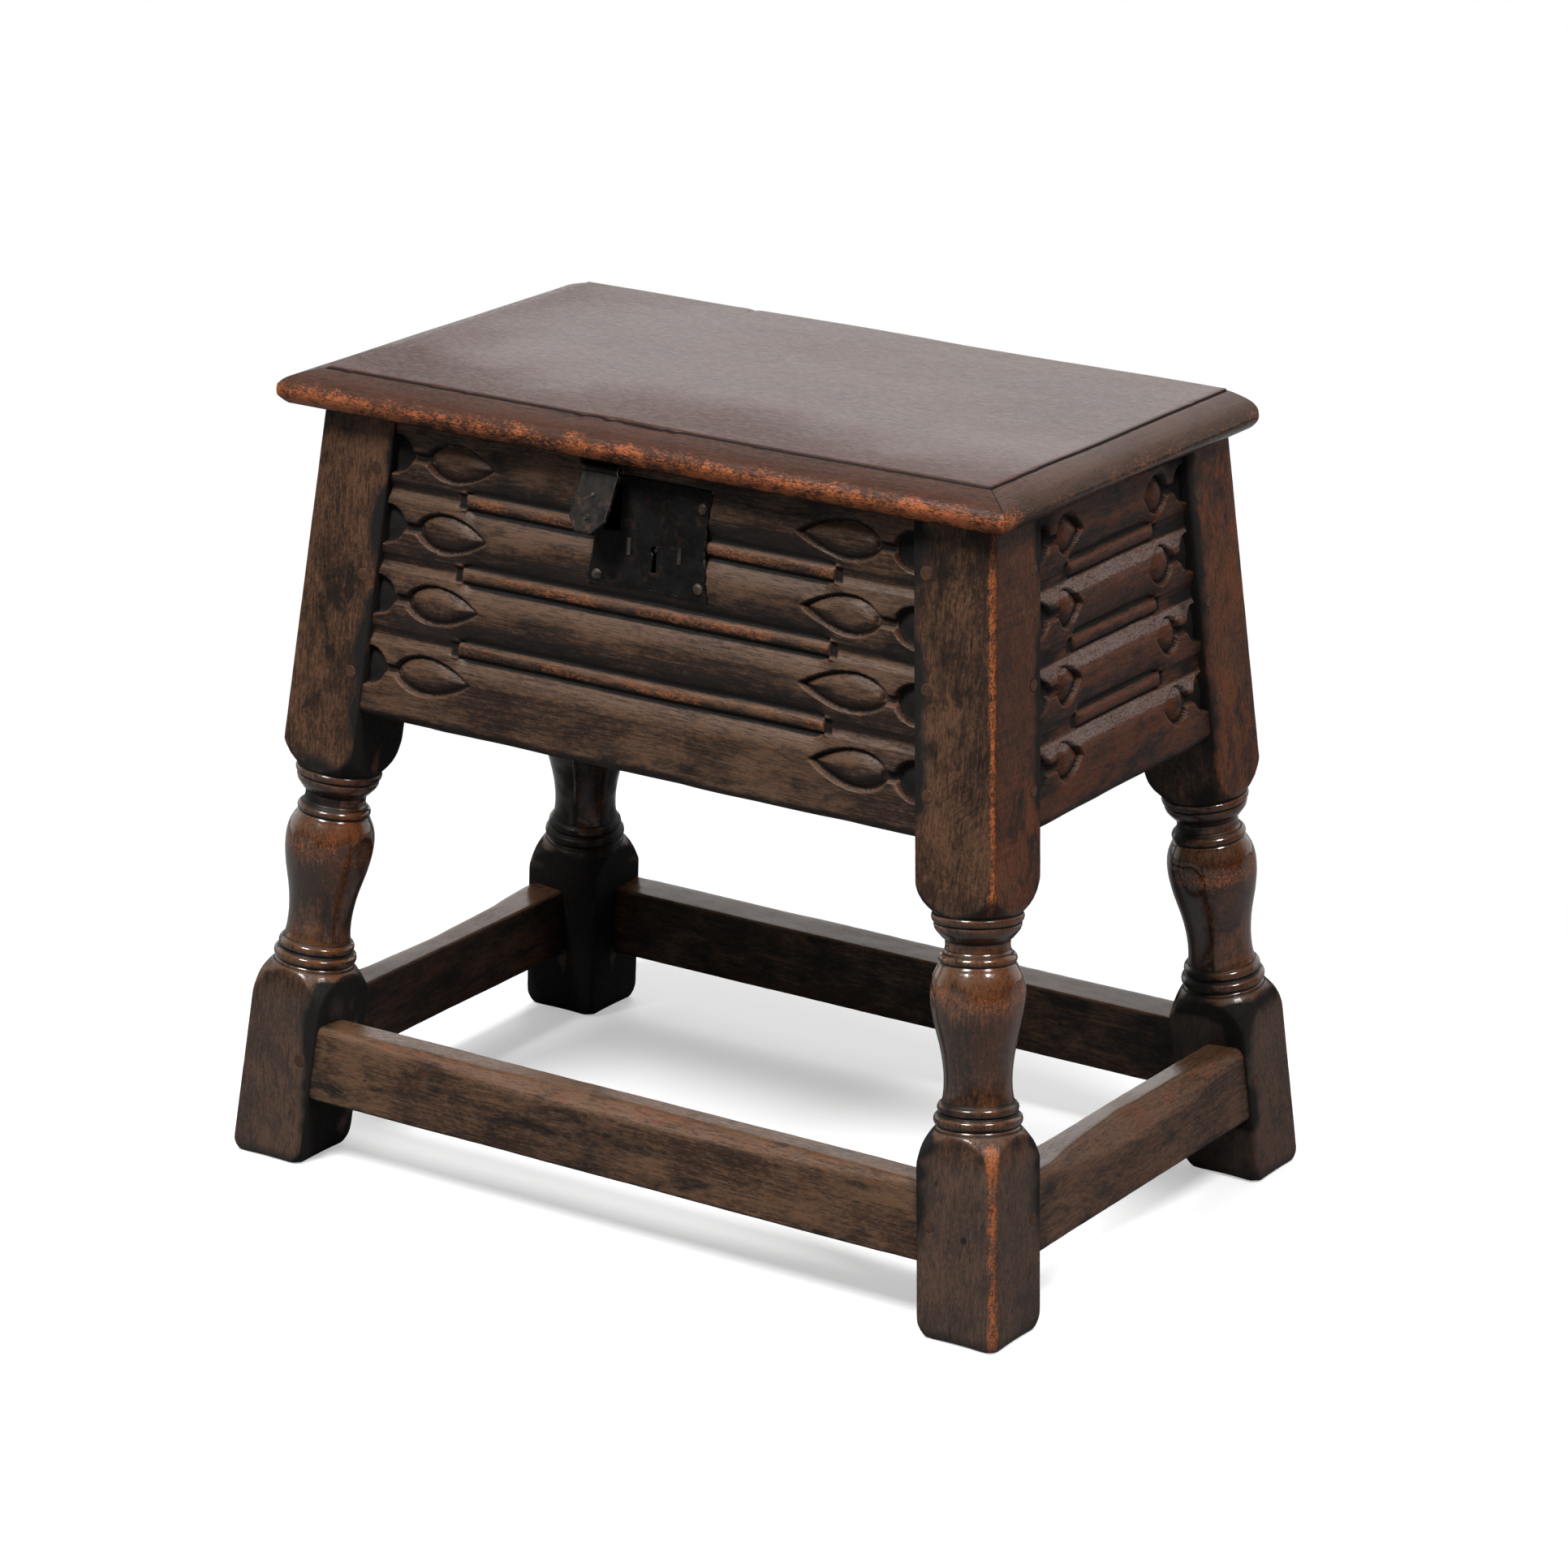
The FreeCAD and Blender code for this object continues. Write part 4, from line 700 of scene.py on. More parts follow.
def leg_tree():
    """Square post and turning in one, along a leaning axis."""
    tree, got = new_group(
        "turned and squared leg", "GeometryNodeTree", Sheet="Geometry", Foot="Vector",
        Head="Vector", Side_Face="Vector", Front_Face="Vector", Half_Section=0.026,
        Corner_Wear=0.4, Dents=0.0003, Seed=0.0, Finish="Material")
    turn, rise, tool, tilt, inset, sharp, rough = (stored(tree, name) for name in LEG_MARKS)
    axis = got["Head"] - got["Foot"]
    along = vec("NORMALIZE", axis)
    spokes = []
    for flat, sine in (((1.0, 0.0, 0.0), "COSINE"), ((0.0, 1.0, 0.0), "SINE")):
        square_on = vec("NORMALIZE", flat - along * vec("DOT_PRODUCT", along, flat))
        level_or_not = add(tree, "ShaderNodeMix", data_type="VECTOR",
                           named={"Factor": tilt, 4: flat, 5: square_on})[1]
        spokes.append(level_or_not * do(sine, turn))
    spoke = spokes[0] + spokes[1]
    spot = spoke * 0.026 + axis * rise
    spread, ripple = (add(tree, "ShaderNodeTexNoise", spot, noise_dimensions="4D", named={
        "W": got["Seed"], "Scale": scale, "Detail": 2.0})["Fac"] for scale in (26.0, 95.0))
    power = sharp * (1.0 - spread * got["Corner_Wear"])
    shares = [do("POWER", do("MAXIMUM", do("ABSOLUTE", vec("DOT_PRODUCT", got[face], spoke)), 1e-4),
                 power) for face in ("Side_Face", "Front_Face")]
    square = do("POWER", shares[0] + shares[1], do("DIVIDE", -1.0, power))
    square = square * got["Half_Section"] - inset
    dent = (spread - 0.5) + (ripple - 0.5) * 0.5
    dent = dent * ((1.0 - tilt * 0.85) * rough) * got["Dents"]
    radius = do("SMOOTH_MIN", square, tool, 0.0009) + dent
    placed = (got["Foot"] + axis * rise) + spoke * radius
    moved = add(tree, "GeometryNodeSetPosition", got["Sheet"], named={"Position": placed})
    finished(tree, moved, got["Finish"], "Leg")
    return tree


def run_tree(name, mesh, tree, values):
    """Runs a node tree on a mesh and hands back what it makes as a plain mesh."""
    carrier = bpy.data.objects.new(name, mesh)
    bpy.context.scene.collection.objects.link(carrier)
    shaping = carrier.modifiers.new("shape", "NODES")
    shaping.node_group = tree
    for item in tree.interface.items_tree:
        if item.item_type == "SOCKET" and item.in_out == "INPUT" and item.name in values:
            shaping[item.identifier] = values[item.name]
    depsgraph = bpy.context.evaluated_depsgraph_get()
    made = bpy.data.meshes.new_from_object(carrier.evaluated_get(depsgraph))
    made.name = name
    carrier.modifiers.remove(shaping)
    bpy.data.objects.remove(carrier)
    return made


# %% Four legs from one sheet
LEG_MARKS = ("turn", "rise", "tool", "tilt", "inset", "sharp", "rough_hewn")
LEAN_UP, LEAN_DOWN = (96.0, 112.0), (250.0, 270.0)
HALF_LEG, CORNER = LEG_SECTION / 2, 37
heights = steps((0, 10, 0.9), (10, 96, 3.2), (96, 118, 0.95), (118, 136, 0.5), (136, 212, 1.1),
                (212, 244, 0.5), (244, 270, 1.0), (270, LEG_TOP, 3.4))
part = np.linspace(-1, 1, 33)[:-1]
quarter = (1.32 * part - 0.32 * part ** 3) * math.pi / 4
turns = np.concatenate([quarter + k * math.pi / 2 for k in range(4)])
turn_grid, height_grid = np.meshgrid(turns, heights)
tool = np.interp(height_grid, TURNING[:, 0], TURNING[:, 1], left=60, right=60)
foot_round = np.sqrt(unit(1 - (1 - unit(height_grid / 16)) ** 2))
foot_reach = 28.6 + 8.0 * foot_round + 20 * ease(12, 18, height_grid)
tool = np.where(height_grid < 18, foot_reach, tool)
inset = 4.4 * (1 - np.sqrt(unit(1 - (np.clip(9 - height_grid, 0, 9) / 9) ** 2)))
tilt = ease(*LEAN_UP, height_grid) * (1 - ease(*LEAN_DOWN, height_grid))
leg_shape = leg_tree()
axis_foot, axis_head = (np.array([half_length(z) - HALF_LEG, HALF_LEG - half_depth(z), z])
                        for z in (0, LEG_TOP))
on_foot, on_upper = 1 - ease(112, 118, height_grid), ease(238, 246, height_grid)
on_turning = (1 - on_foot) * (1 - on_upper)


def leg_wear(off_corner, seed, rub):
    """Wear along the outer corner, and how sharp it still is."""
    spots = np.stack([off_corner, 0 * off_corner, height_grid], axis=-1)
    ragged = 1 + 0.45 * lumps(spots, (6, 6, 9), seed + 8, 3)
    ragged = ragged + 0.25 * lumps(spots, (40, 40, 34), seed + 9)
    core = (on_foot * ease(5.2, 1.2, off_corner / ragged)
            + on_upper * ease(3.4, 0.8, off_corner / ragged))
    apex = on_foot * ease(98, 108, height_grid) * ease(8, 3, off_corner)
    broken = 0.62 + 0.30 * lumps(spots, (3, 3, 7), seed + 12, 3)
    worn = rub * np.clip(broken * (core + 0.5 * apex), 0, 0.85)
    softened = ease(12, 7, off_corner)
    sharp = 44 - softened * (31 * on_foot + 20 * on_upper) * (0.4 + 0.6 * rub)
    return spots, apex, worn, sharp


def leg_ages(seed, x_sign, y_sign, rub, inner_shade):
    """Wear on the outer corner and a painted glow on the turning, dirt with painted shade on the
    inner sides and at joints, and each corner's shape.
    """
    away = turn_grid - math.atan2(-y_sign, x_sign)
    facing = np.cos(away)
    off_corner = CORNER * np.abs(np.sin(away)) + 60 * (facing < 0)
    spots, apex, worn, sharp = leg_wear(off_corner, seed, rub)
    # Near the rails and stretchers, at the blocks' shoulders and in the turning's neck the leg is
    # painted darker: painted shade with dirt.
    near_joints = ease(262, 300, height_grid) + 0.8 * ease(30, 44, height_grid) * on_foot
    joints = ease(16, 2, CORNER * np.abs(np.cos(away))) * near_joints
    ends = on_upper * ease(266, 246, height_grid) + on_foot * ease(100, 114, height_grid)
    neck = on_turning * np.maximum(ease(232, 222, height_grid) * ease(214, 221, height_grid),
                                   ease(160, 140, height_grid))
    # The sides that face into the stool are painted dark as shade, by each leg's own amount; the
    # back left leg's are nearly black.
    inward = np.maximum(-x_sign * np.cos(turn_grid), y_sign * np.sin(turn_grid))
    inner_side = np.where(on_turning > 0.5, 0.3 * ease(0.1, 1.0, inward), ease(0.55, 0.8, inward))
    dusty = 0.16 * on_foot * (1 - 0.8 * ease(9, 4, off_corner))
    dirt_and_shade = (0.6 * joints + 0.6 * ends * (1 - 0.7 * (apex > 0.1)) + 0.32 * neck
            + inner_shade * inner_side + dusty)
    dirt_and_shade = dirt_and_shade + on_turning * unit(0.08 + 0.30 * lumps(spots + 57, (24, 24, 15), seed + 15, 3))
    dirt_and_shade = dirt_and_shade * np.clip(0.9 + 0.7 * lumps(spots + seed * 9, (14, 14, 26), seed + 10, 3), 0, 1.6)
    # A lighter orange-brown band round the bulb's widest part, and a weaker one lower down, is a
    # painted glow about the highlights; it goes in with the wear and clears dirt there.
    glow = (np.exp(-((height_grid - 196) / 10.5) ** 2)
            + 0.5 * np.exp(-((height_grid - 145) / 9) ** 2))
    glow = glow * unit(0.75 + 0.5 * lumps(spots + 31, (30, 30, 12), seed + 14, 3))
    dirt_and_shade = dirt_and_shade * (1 - 0.7 * unit(glow) * on_turning)
    return worn + 0.6 * glow, dirt_and_shade, sharp, facing


def make_leg(name, seed, x_sign, y_sign, rub, inner_shade):
    """One leg, as the front right one or its mirror image, with its own wear."""
    rows, columns = turn_grid.shape
    worn, dirt_and_shade, sharp, facing = leg_ages(seed, x_sign, y_sign, rub, inner_shade)
    on_block = np.maximum(on_foot, on_upper)
    flat = np.stack([turn_grid * 20, np.zeros_like(turn_grid), height_grid], axis=-1)
    caps = (np.arange(columns)[::-1], np.arange(columns) + (rows - 1) * columns)
    sheet = faces_mesh("sheet", flat.reshape(-1, 3), ring_quads(rows, columns), caps)
    marks = (turn_grid, height_grid / LEG_TOP, tool * MM, tilt, inset * MM, sharp,
             0.15 + 0.85 * on_block)
    write_marks(sheet, **{title: values.reshape(-1) for title, values in zip(LEG_MARKS, marks)})
    mirror = np.array([x_sign, y_sign, 1.0])
    mesh = run_tree(name, sheet, leg_shape, {
        "Foot": tuple(axis_foot * mirror * MM), "Head": tuple(axis_head * mirror * MM),
        "Side Face": tuple(np.array([1, 0, math.tan(END_CANT)]) * mirror),
        "Front Face": tuple(np.array([0, -1, math.tan(SIDE_CANT)]) * mirror),
        "Half Section": HALF_LEG * MM, "Corner Wear": 0.5, "Dents": 0.0008, "Seed": seed,
        "Finish": oak_leg})
    for title in LEG_MARKS:
        mesh.attributes.remove(mesh.attributes[title])
    polish = ease(114, 122, height_grid) * (1 - ease(236, 250, height_grid))
    arris = (0.15 + 0.5 * ease(0.90, 0.99, facing)) * np.maximum(on_block, 0.35)
    old_marks(mesh, grain_along((2, 0, 1), draw=1.7), wear=arris.reshape(-1), seed=seed,
              extra_wear_and_sheen=worn.reshape(-1), extra_grime_and_shade=dirt_and_shade.reshape(-1), polish=polish.reshape(-1))
    return place(mesh, "box", [name.replace("turned_", "")], "oak", oak_leg)


# The last value is how dark each leg's inner sides are painted, for the shade inside the stool.
make_leg("turned_leg_front_right", 1.0, 1, 1, 1.0, 0.35)
make_leg("turned_leg_front_left", 2.0, -1, 1, 0.35, 1.0)
make_leg("turned_leg_back_right", 3.0, 1, -1, 0.5, 0.25)
make_leg("turned_leg_back_left", 4.0, -1, -1, 0.1, 1.1)

# %% [markdown]
# ## The carved rails
#
# The carver worked on a smooth board with gouges. Three reeds run along it with a groove on
# either side, and between them the wood is left as long cushions. At each end of a cushion is a
# pointed leaf: its outline is cut down steeply and the middle is left as a low pillow, and a
# short neck joins it to a half-round hollow against the leg. Each rail is one height field, a
# depth of cutting for every spot of its face, so the carving can be written as simple rules.

# %% How deep the carver went
REEDS = (423.0, 380.0, 336.0)
BANDS = (444.0, 402.0, 359.0, 316.0)
REED_HALF, LEAF_HALF = 4.2, 12.0
NOTCH = 5.4
leaf_share = (1 - np.cos(np.linspace(0, math.pi, 36))) / 2
leaf_width = leaf_share ** 0.62 * (1 - leaf_share) ** 0.92 * 2.83


def inside_outline(u, h, outline):
    """Distance of each point in from a closed outline, below zero outside it."""
    best = np.full(u.shape, 1e9)
    inside = np.zeros(u.shape, bool)
    for (x0, y0), (x1, y1) in zip(outline, np.roll(outline, -1, axis=0)):
        dx, dy = x1 - x0, y1 - y0
        share = unit(((u - x0) * dx + (h - y0) * dy) / (dx * dx + dy * dy + 1e-12))
        best = np.minimum(best, np.hypot(u - x0 - share * dx, h - y0 - share * dy))
        crossing = x0 + (h - y0) / (dy if abs(dy) > 1e-9 else 1e-9) * dx
        inside ^= ((y0 > h) != (y1 > h)) & (u < crossing)
    return np.where(inside, best, -best)


def reeds_and_cushions(h, crisp, soft, bevelled):
    """Depth across the rail; the shares are 1 along the reeds and 0 beyond their ends."""
    depth = np.zeros(h.shape)
    for middle in REEDS:
        away = np.abs(h - middle)
        reed = 4.6 - 2.7 * np.sqrt(unit(1 - (away / REED_HALF) ** 2))
        cushion = 5.2 * (1 - unit((away - REED_HALF - 1.6) / 14.0)) ** 1.75
        bevel = NOTCH * unit(1 - (middle - h - REED_HALF - 1.0) / 10.5) * (h < middle)
        cushion = np.maximum(cushion, bevel * bevelled)
        dip = (ease(REED_HALF - 0.5, REED_HALF + 0.1, away)
               * ease(REED_HALF + 1.5, REED_HALF + 0.8, away))
        along = np.maximum(np.where(away < REED_HALF, reed, cushion), NOTCH * dip)
        beyond = 1.2 * unit(1 - (away / 5.0) ** 2) + 2.6 * unit(1 - away / 17.0) ** 1.5
        beyond = np.maximum(beyond, 0.75 * bevel * bevelled)
        share = np.where(away < REED_HALF + 1.6, crisp, soft)
        depth = np.maximum(depth, along * share + beyond * (1 - share))
    return depth


def cut_leaf(u, h, depth, near, far, middle, lean):
    """Cuts one leaf: steep outline and low pillow."""
    near_by = ((np.abs(h - middle) < LEAF_HALF + 3)
               & (u > min(near, far) - 3) & (u < max(near, far) + 3))
    if not near_by.any():
        return depth
    along = near + (far - near) * leaf_share
    rise = middle + lean * (leaf_share - 0.4)
    upper, lower = (np.stack([along, rise + half * leaf_width], axis=-1)
                    for half in (LEAF_HALF, -LEAF_HALF))
    reach = inside_outline(u[near_by], h[near_by], np.concatenate([upper, lower[-2:0:-1]]))
    cut = 4.6 * ease(-0.3, 1.2, reach) - 3.6 * np.sqrt(ease(1.0, 9.5, reach))
    leaf = np.maximum(depth[near_by] * (1 - ease(-0.35, 1.0, reach)), cut)
    result = depth.copy()
    result[near_by] = np.where(reach > -0.35, leaf, depth[near_by])
    return result


def cut_recess(u, h, depth, edge, near, middle):
    """Cuts the half-round hollow against the leg, and the neck that reaches the leaf."""
    hand = np.sign(near)
    round_in = 1 - np.hypot((u - hand * edge) / 14.5, (h - middle) / 12.2)
    hollow = 5.6 * ease(-0.02, 0.12, round_in) - 0.9 * ease(0.3, 0.8, round_in)
    neck = (hand * u > abs(near) - 5) & (hand * u < edge)
    channel = np.where(neck, 4.0 * ease(3.4, 1.6, np.abs(h - middle)), 0.0)
    return np.maximum(depth, np.maximum(hollow, channel))


# %% [markdown]
# ## From depths to a rail
#
# The points stand close together where there is carving and further apart on the plain middle.
# The ring of the rail is its face, its lower edge, its back and its upper edge.

# %% Building a rail
RAIL_THICKNESS = 22.0
BACK_RISE = (0, 0, 0, 0.004, 0.2, 0.4, 0.6, 0.8, 0.996, 1, 1, 1)
BACK_DEPTH = (0.35, 0.7, 0.965, 1, 1, 1, 1, 1, 1, 0.965, 0.6, 0.2)


def spread_points(edge, dense_from, fine, coarse, extra=()):
    """Places along a rail, close together beyond a distance and near some edges."""
    half = np.concatenate([steps((dense_from, edge, fine)), steps((0, dense_from, coarse))[1:-1]])
    places = np.concatenate([half, -half, [0.0]])
    for low, high in extra:
        places = places[(places < low) | (places > high)]
        places = np.concatenate([places, steps((low, high, fine))])
    return np.unique(np.round(places, 4))


def rail_grid(side, places):
    """Face rows and columns: along the rail, and height above the floor."""
    along = SIDES[side].along
    rows = steps((LEG_TOP, 452, 1.3), (452, 300, 0.76), (300, RAIL_FOOT, 1.0))
    edge_top = along(LEG_TOP) - LEG_SECTION + HOUSED
    u, h = np.meshgrid(places, rows, indexing="ij")
    widening = along(h) - LEG_SECTION + HOUSED - edge_top
    stretch_out = widening * ease(0.45, 1.0, np.abs(u) / edge_top)
    return u + np.sign(u) * stretch_out, h, along(h) - LEG_SECTION


def ring_rail(name, side, u, h, depth):
    """Closes a carved face with a lower edge, a back and an upper edge."""
    cant = SIDES[side].cant
    low, high = h[:, -1:], h[:, :1]
    back_h = low + (high - low) * np.array(BACK_RISE)
    back_d = np.zeros(back_h.shape) + np.array(BACK_DEPTH) * RAIL_THICKNESS
    columns = np.linspace(u.shape[1] - 1, 0, 5).astype(int)
    back_u = u[:, np.concatenate([[-1] * 4, columns, [0] * 3])]
    all_u, all_h, all_d, flat_d = (np.concatenate(pair, axis=1) for pair in (
        (u, back_u), (h, back_h), (depth, back_d), (np.zeros(h.shape), back_d)))
    up = (all_h + (flat_d + SETBACK) * math.sin(cant)) / math.cos(cant)
    return lofted(name, on_side(side, all_u, up, all_d + SETBACK))


def on_ring(face_values):
    """Values for a rail's whole ring: those of the face, and none on its back."""
    back_values = np.zeros((len(face_values), len(BACK_RISE)))
    return np.concatenate([face_values, back_values], axis=1).reshape(-1)


def carve_rail(name, side, places, reed_end, leaves, seed, housing=None):
    """One carved rail: its reeds, cushions, leaves and hollows, and hand-work all over."""
    u, h, edge = rail_grid(side, places)
    spots = np.stack([u, np.zeros_like(u), h], axis=-1) + seed * 97.0
    wander = h + 0.35 * lumps(spots, 45.0, seed)
    at_end = side in ("left", "right")
    past_reeds = np.abs(u) - reed_end
    along = 1 - ease(-0.5, 0.5, past_reeds)
    depth = reeds_and_cushions(wander, along, 1 - ease(-7, 6, past_reeds), 1.0 if at_end else 0.25)
    stopped = np.zeros(h.shape)
    for middle in REEDS:
        stop = ease(-0.5, 0.5, past_reeds) * (1 - ease(4.5, 7.0, past_reeds))
        stopped = np.maximum(stopped, stop * ease(5.2, 3.8, np.abs(wander - middle)))
    depth = np.maximum(depth, 4.4 * stopped)
    for middle, pair in zip(BANDS, leaves):
        for near, far, lean in pair:
            depth = cut_leaf(u, h, depth, near, far, middle, lean)
            depth = cut_recess(u, h, depth, edge, near, middle)
    foot = unit((RAIL_FOOT + 5.5 + 1.5 * lumps(spots, 40.0, seed + 4) - h) / 6.0)
    depth = np.maximum(depth, 4.2 * foot ** 2)
    worked = (0.20 * (1 + lumps(spots, (70, 30, 34), seed + 1))
              + 0.10 * (1 + lumps(spots, (14, 5, 5), seed + 2)))
    depth = depth + worked
    if housing is not None:
        depth = np.maximum(depth, housing(u, h))
    mesh = ring_rail(name, side, u, h, depth)

    patchy = 0.55 + 0.35 * lumps(spots, (24, 24, 9), seed + 6, 3)
    # under is the lower part of each cushion, just above a reed, which is painted darker as shade.
    under, sheen_and_wear_shelf, crest = np.zeros(h.shape), np.zeros(h.shape), np.zeros(h.shape)
    for middle in REEDS:
        below = middle - REED_HALF - wander
        under = np.maximum(under, ease(2.0, 5.0, h - middle) * ease(19.0, 6.0, h - middle) * along)
        sheen_and_wear_shelf = np.maximum(sheen_and_wear_shelf, ease(1.4, 2.6, below) * ease(11.5, 9.0, below))
        on_crest = ease(REED_HALF, REED_HALF - 1.5, np.abs(wander - middle))
        crest = np.maximum(crest, on_crest * along)
    # The shelf is the upward bevel under each reed, and on the ends also a strip under the lid:
    # there a painted pale sheen.
    sheen_and_wear_shelf = np.maximum(sheen_and_wear_shelf, at_end * ease(9.0, 5.0, LEG_TOP - wander))
    # On the ends the shelf takes most of the rubbed mark, which their finish paints as a pale
    # mauve-grey sheen; on the front it is a little wear.
    worn = 0.55 * crest * unit(2 * patchy - 0.4) * (1 - at_end)
    worn = worn + (0.85 if at_end else 0.10) * sheen_and_wear_shelf * (depth < 5.2) * (0.75 + 0.25 * patchy)
    # The deepest cuts, the reeds' stopped ends, the lower parts of the cushions and, on the ends,
    # the parts near the legs are painted darker: painted shade with grime.
    dirt_and_shade = (0.85 * ease(3.7, 5.0, depth) * (1 - sheen_and_wear_shelf * at_end)
            + 0.34 * patchy * under + 0.35 * stopped)
    dirt_and_shade = dirt_and_shade + at_end * 0.8 * patchy * ease(36, 10, edge - np.abs(u))
    old_marks(mesh, grain_along(SIDES[side].grain), wear=0.25 if at_end else 0.7, seed=seed + 5,
              extra_wear_and_sheen=on_ring(worn), extra_grime_and_shade=unit(on_ring(dirt_and_shade)))
    return place(mesh, "box", ["rail_" + side], "oak", oak_panel_end if at_end else oak_panel)


# %% [markdown]
# ## The front rail is let in for the lock
#
# Behind the iron plate the rail has a shallow bed of the plate's own outline, and deeper in a
# room for the lock's case.

# %% The plate's outline, and the bed cut for it
PLATE_LEFT, PLATE_RIGHT, PLATE_LOW, PLATE_HIGH = -38.0, 45.0, 392.0, 457.0
WAIST, FOOT_BOW = 3.5, 1.75


def plate_outline(grow):
    """The plate's outline on the face: sides drawn in a little, foot bowed up a little."""
    left, right = PLATE_LEFT - grow, PLATE_RIGHT + grow
    low, high = PLATE_LOW - grow, PLATE_HIGH + grow
    bow = 1 - np.linspace(-1, 1, 25)[:-1] ** 2
    share = np.linspace(0, 1, 25)[:-1]
    return np.concatenate([np.stack([x, y], axis=-1) for x, y in (
        (left + (right - left) * share, low + FOOT_BOW * bow),
        (right - WAIST * bow, low + (high - low) * share),
        (right + (left - right) * share, high + 0 * share),
        (left + WAIST * bow, high + (low - high) * share))])


def lock_housing(u, h):
    """Depth of the bed and of the room behind it."""
    bed = 1.95 * ease(-0.3, 0.35, inside_outline(u, h, plate_outline(0.35)))
    room = np.minimum(np.minimum(u + 34.2, 37.6 - u), np.minimum(h - 400.4, 452.6 - h))
    return np.maximum(bed, 17.0 * ease(-0.2, 0.6, room))


def end_leaves(side, seed):
    """The ends' leaves are shorter, and each is a little different."""
    found = []
    for k, middle in enumerate(BANDS):
        edge = SIDES[side].along(middle) - LEG_SECTION
        slip = [1.3 * math.sin(seed * 5 + k * 2.4 + n * 1.7) for n in (0, 1)]
        found.append(((-(edge - 21.5 + slip[0]), -(edge - 49.5 + slip[1]), slip[1]),
                      (edge - 21.5 - slip[1], edge - 49.5 + slip[0], slip[0])))
    return found


# Near and far ends of each band's left and right leaf on the front, and their slight leans
FRONT_LEAVES = (((-156, -107, 0.5), (158, 101, -0.4)), ((-161, -110, -0.7), (161, 107.6, 0.8)),
                ((-166, -113, 0.3), (169, 110, -0.8)), ((-171, -116, -0.4), (173, 120, 0.6)))
front_edge, end_edge = (half(LEG_TOP) - LEG_SECTION + HOUSED for half in (half_length, half_depth))
carve_rail("carved_rail_front", "front",
           spread_points(front_edge, 98, 0.82, 2.6, extra=((-40, -32), (36.5, 47))),
           127.0, FRONT_LEAVES, 11.0, lock_housing)
for seed, side in ((23.0, "right"), (31.0, "left")):
    carve_rail("carved_rail_" + side, side, spread_points(end_edge, 20, 0.85, 1.6), 47.0,
               end_leaves(side, seed), seed)

# %% [markdown]
# ## The plain rail at the back
#
# Nobody saw the back, so it was only planed. The hinges' leaves are let into its top.

# %% Back rail
def plain_rail():
    """The back rail, with shallow plane marks and the two hinge beds."""
    near_hinges = ((HINGE_X - 24, HINGE_X + 24), (-HINGE_X - 24, -HINGE_X + 24))
    u, h, _ = rail_grid("back", spread_points(front_edge, 100, 2.0, 3.0, extra=near_hinges))
    spots = np.stack([u, np.zeros_like(u), h], axis=-1)
    depth = 0.25 * (1 + lumps(spots, (90, 25, 22), 41)) + 0.08 * (1 + lumps(spots, (12, 6, 6), 42))
    foot = unit((RAIL_FOOT + 4 - h) / 4)
    mesh = ring_rail("plain_rail_back", "back", u, h, np.maximum(depth, 2.6 * foot ** 2))
    co = points_of(mesh)
    bedded = (co[:, 2] > 0.4650) & (np.abs(np.abs(co[:, 0]) - HINGE_X * MM) < 0.0224)
    co[bedded, 2] = 0.46585
    mesh.vertices.foreach_set("co", co.ravel())
    mesh.update()
    old_marks(mesh, grain_along(SIDES["back"].grain), wear=0.8, seed=47.0)
    return place(mesh, "box", ["rail_back"], "oak", oak_panel)


plain_rail()

# %% [markdown]
# ## Stretchers, worn by feet
#
# Four bars tie the legs together just above the floor. People rested their shoes on them, so
# the outer top corner is worn away, most of all in the middle. Each is a bar whose corners are
# rounded a little, with that one corner cut back by an amount that changes along it.

# %% A bar whose outer top corner is worn away
CORNER_ROUND, SOFTNESS = 1.8, 1.6


def bar_section(width, height, radius):
    """Outline of a bar from the outer foot round, with its corners rounded."""
    def side_of(length):
        marks = (0, radius, length / 3, length * 2 / 3, length - radius, length)
        return np.unique(np.concatenate([np.linspace(a, b, count) for a, b, count in
                                         zip(marks, marks[1:], (5, 5, 6, 5, 5))]))[:-1]
    up, across = side_of(height), side_of(width)
    points = np.concatenate([np.stack([x, y], axis=-1) for x, y in (
        (0 * up, up), (across, 0 * across + height), (0 * up + width, height - up),
        (width - across, 0 * across))])
    for d0, v0 in itertools.product((0, width), (0, height)):
        p, q = np.abs(points[:, 0] - d0), np.abs(points[:, 1] - v0)
        close = (p < radius) & (q < radius)
        angle = (1 + (q - p) / radius) * math.pi / 4
        points[close, 0] = np.abs(d0 - (radius - radius * np.sin(angle)))[close]
        points[close, 1] = np.abs(v0 - (radius - radius * np.cos(angle)))[close]
    return points


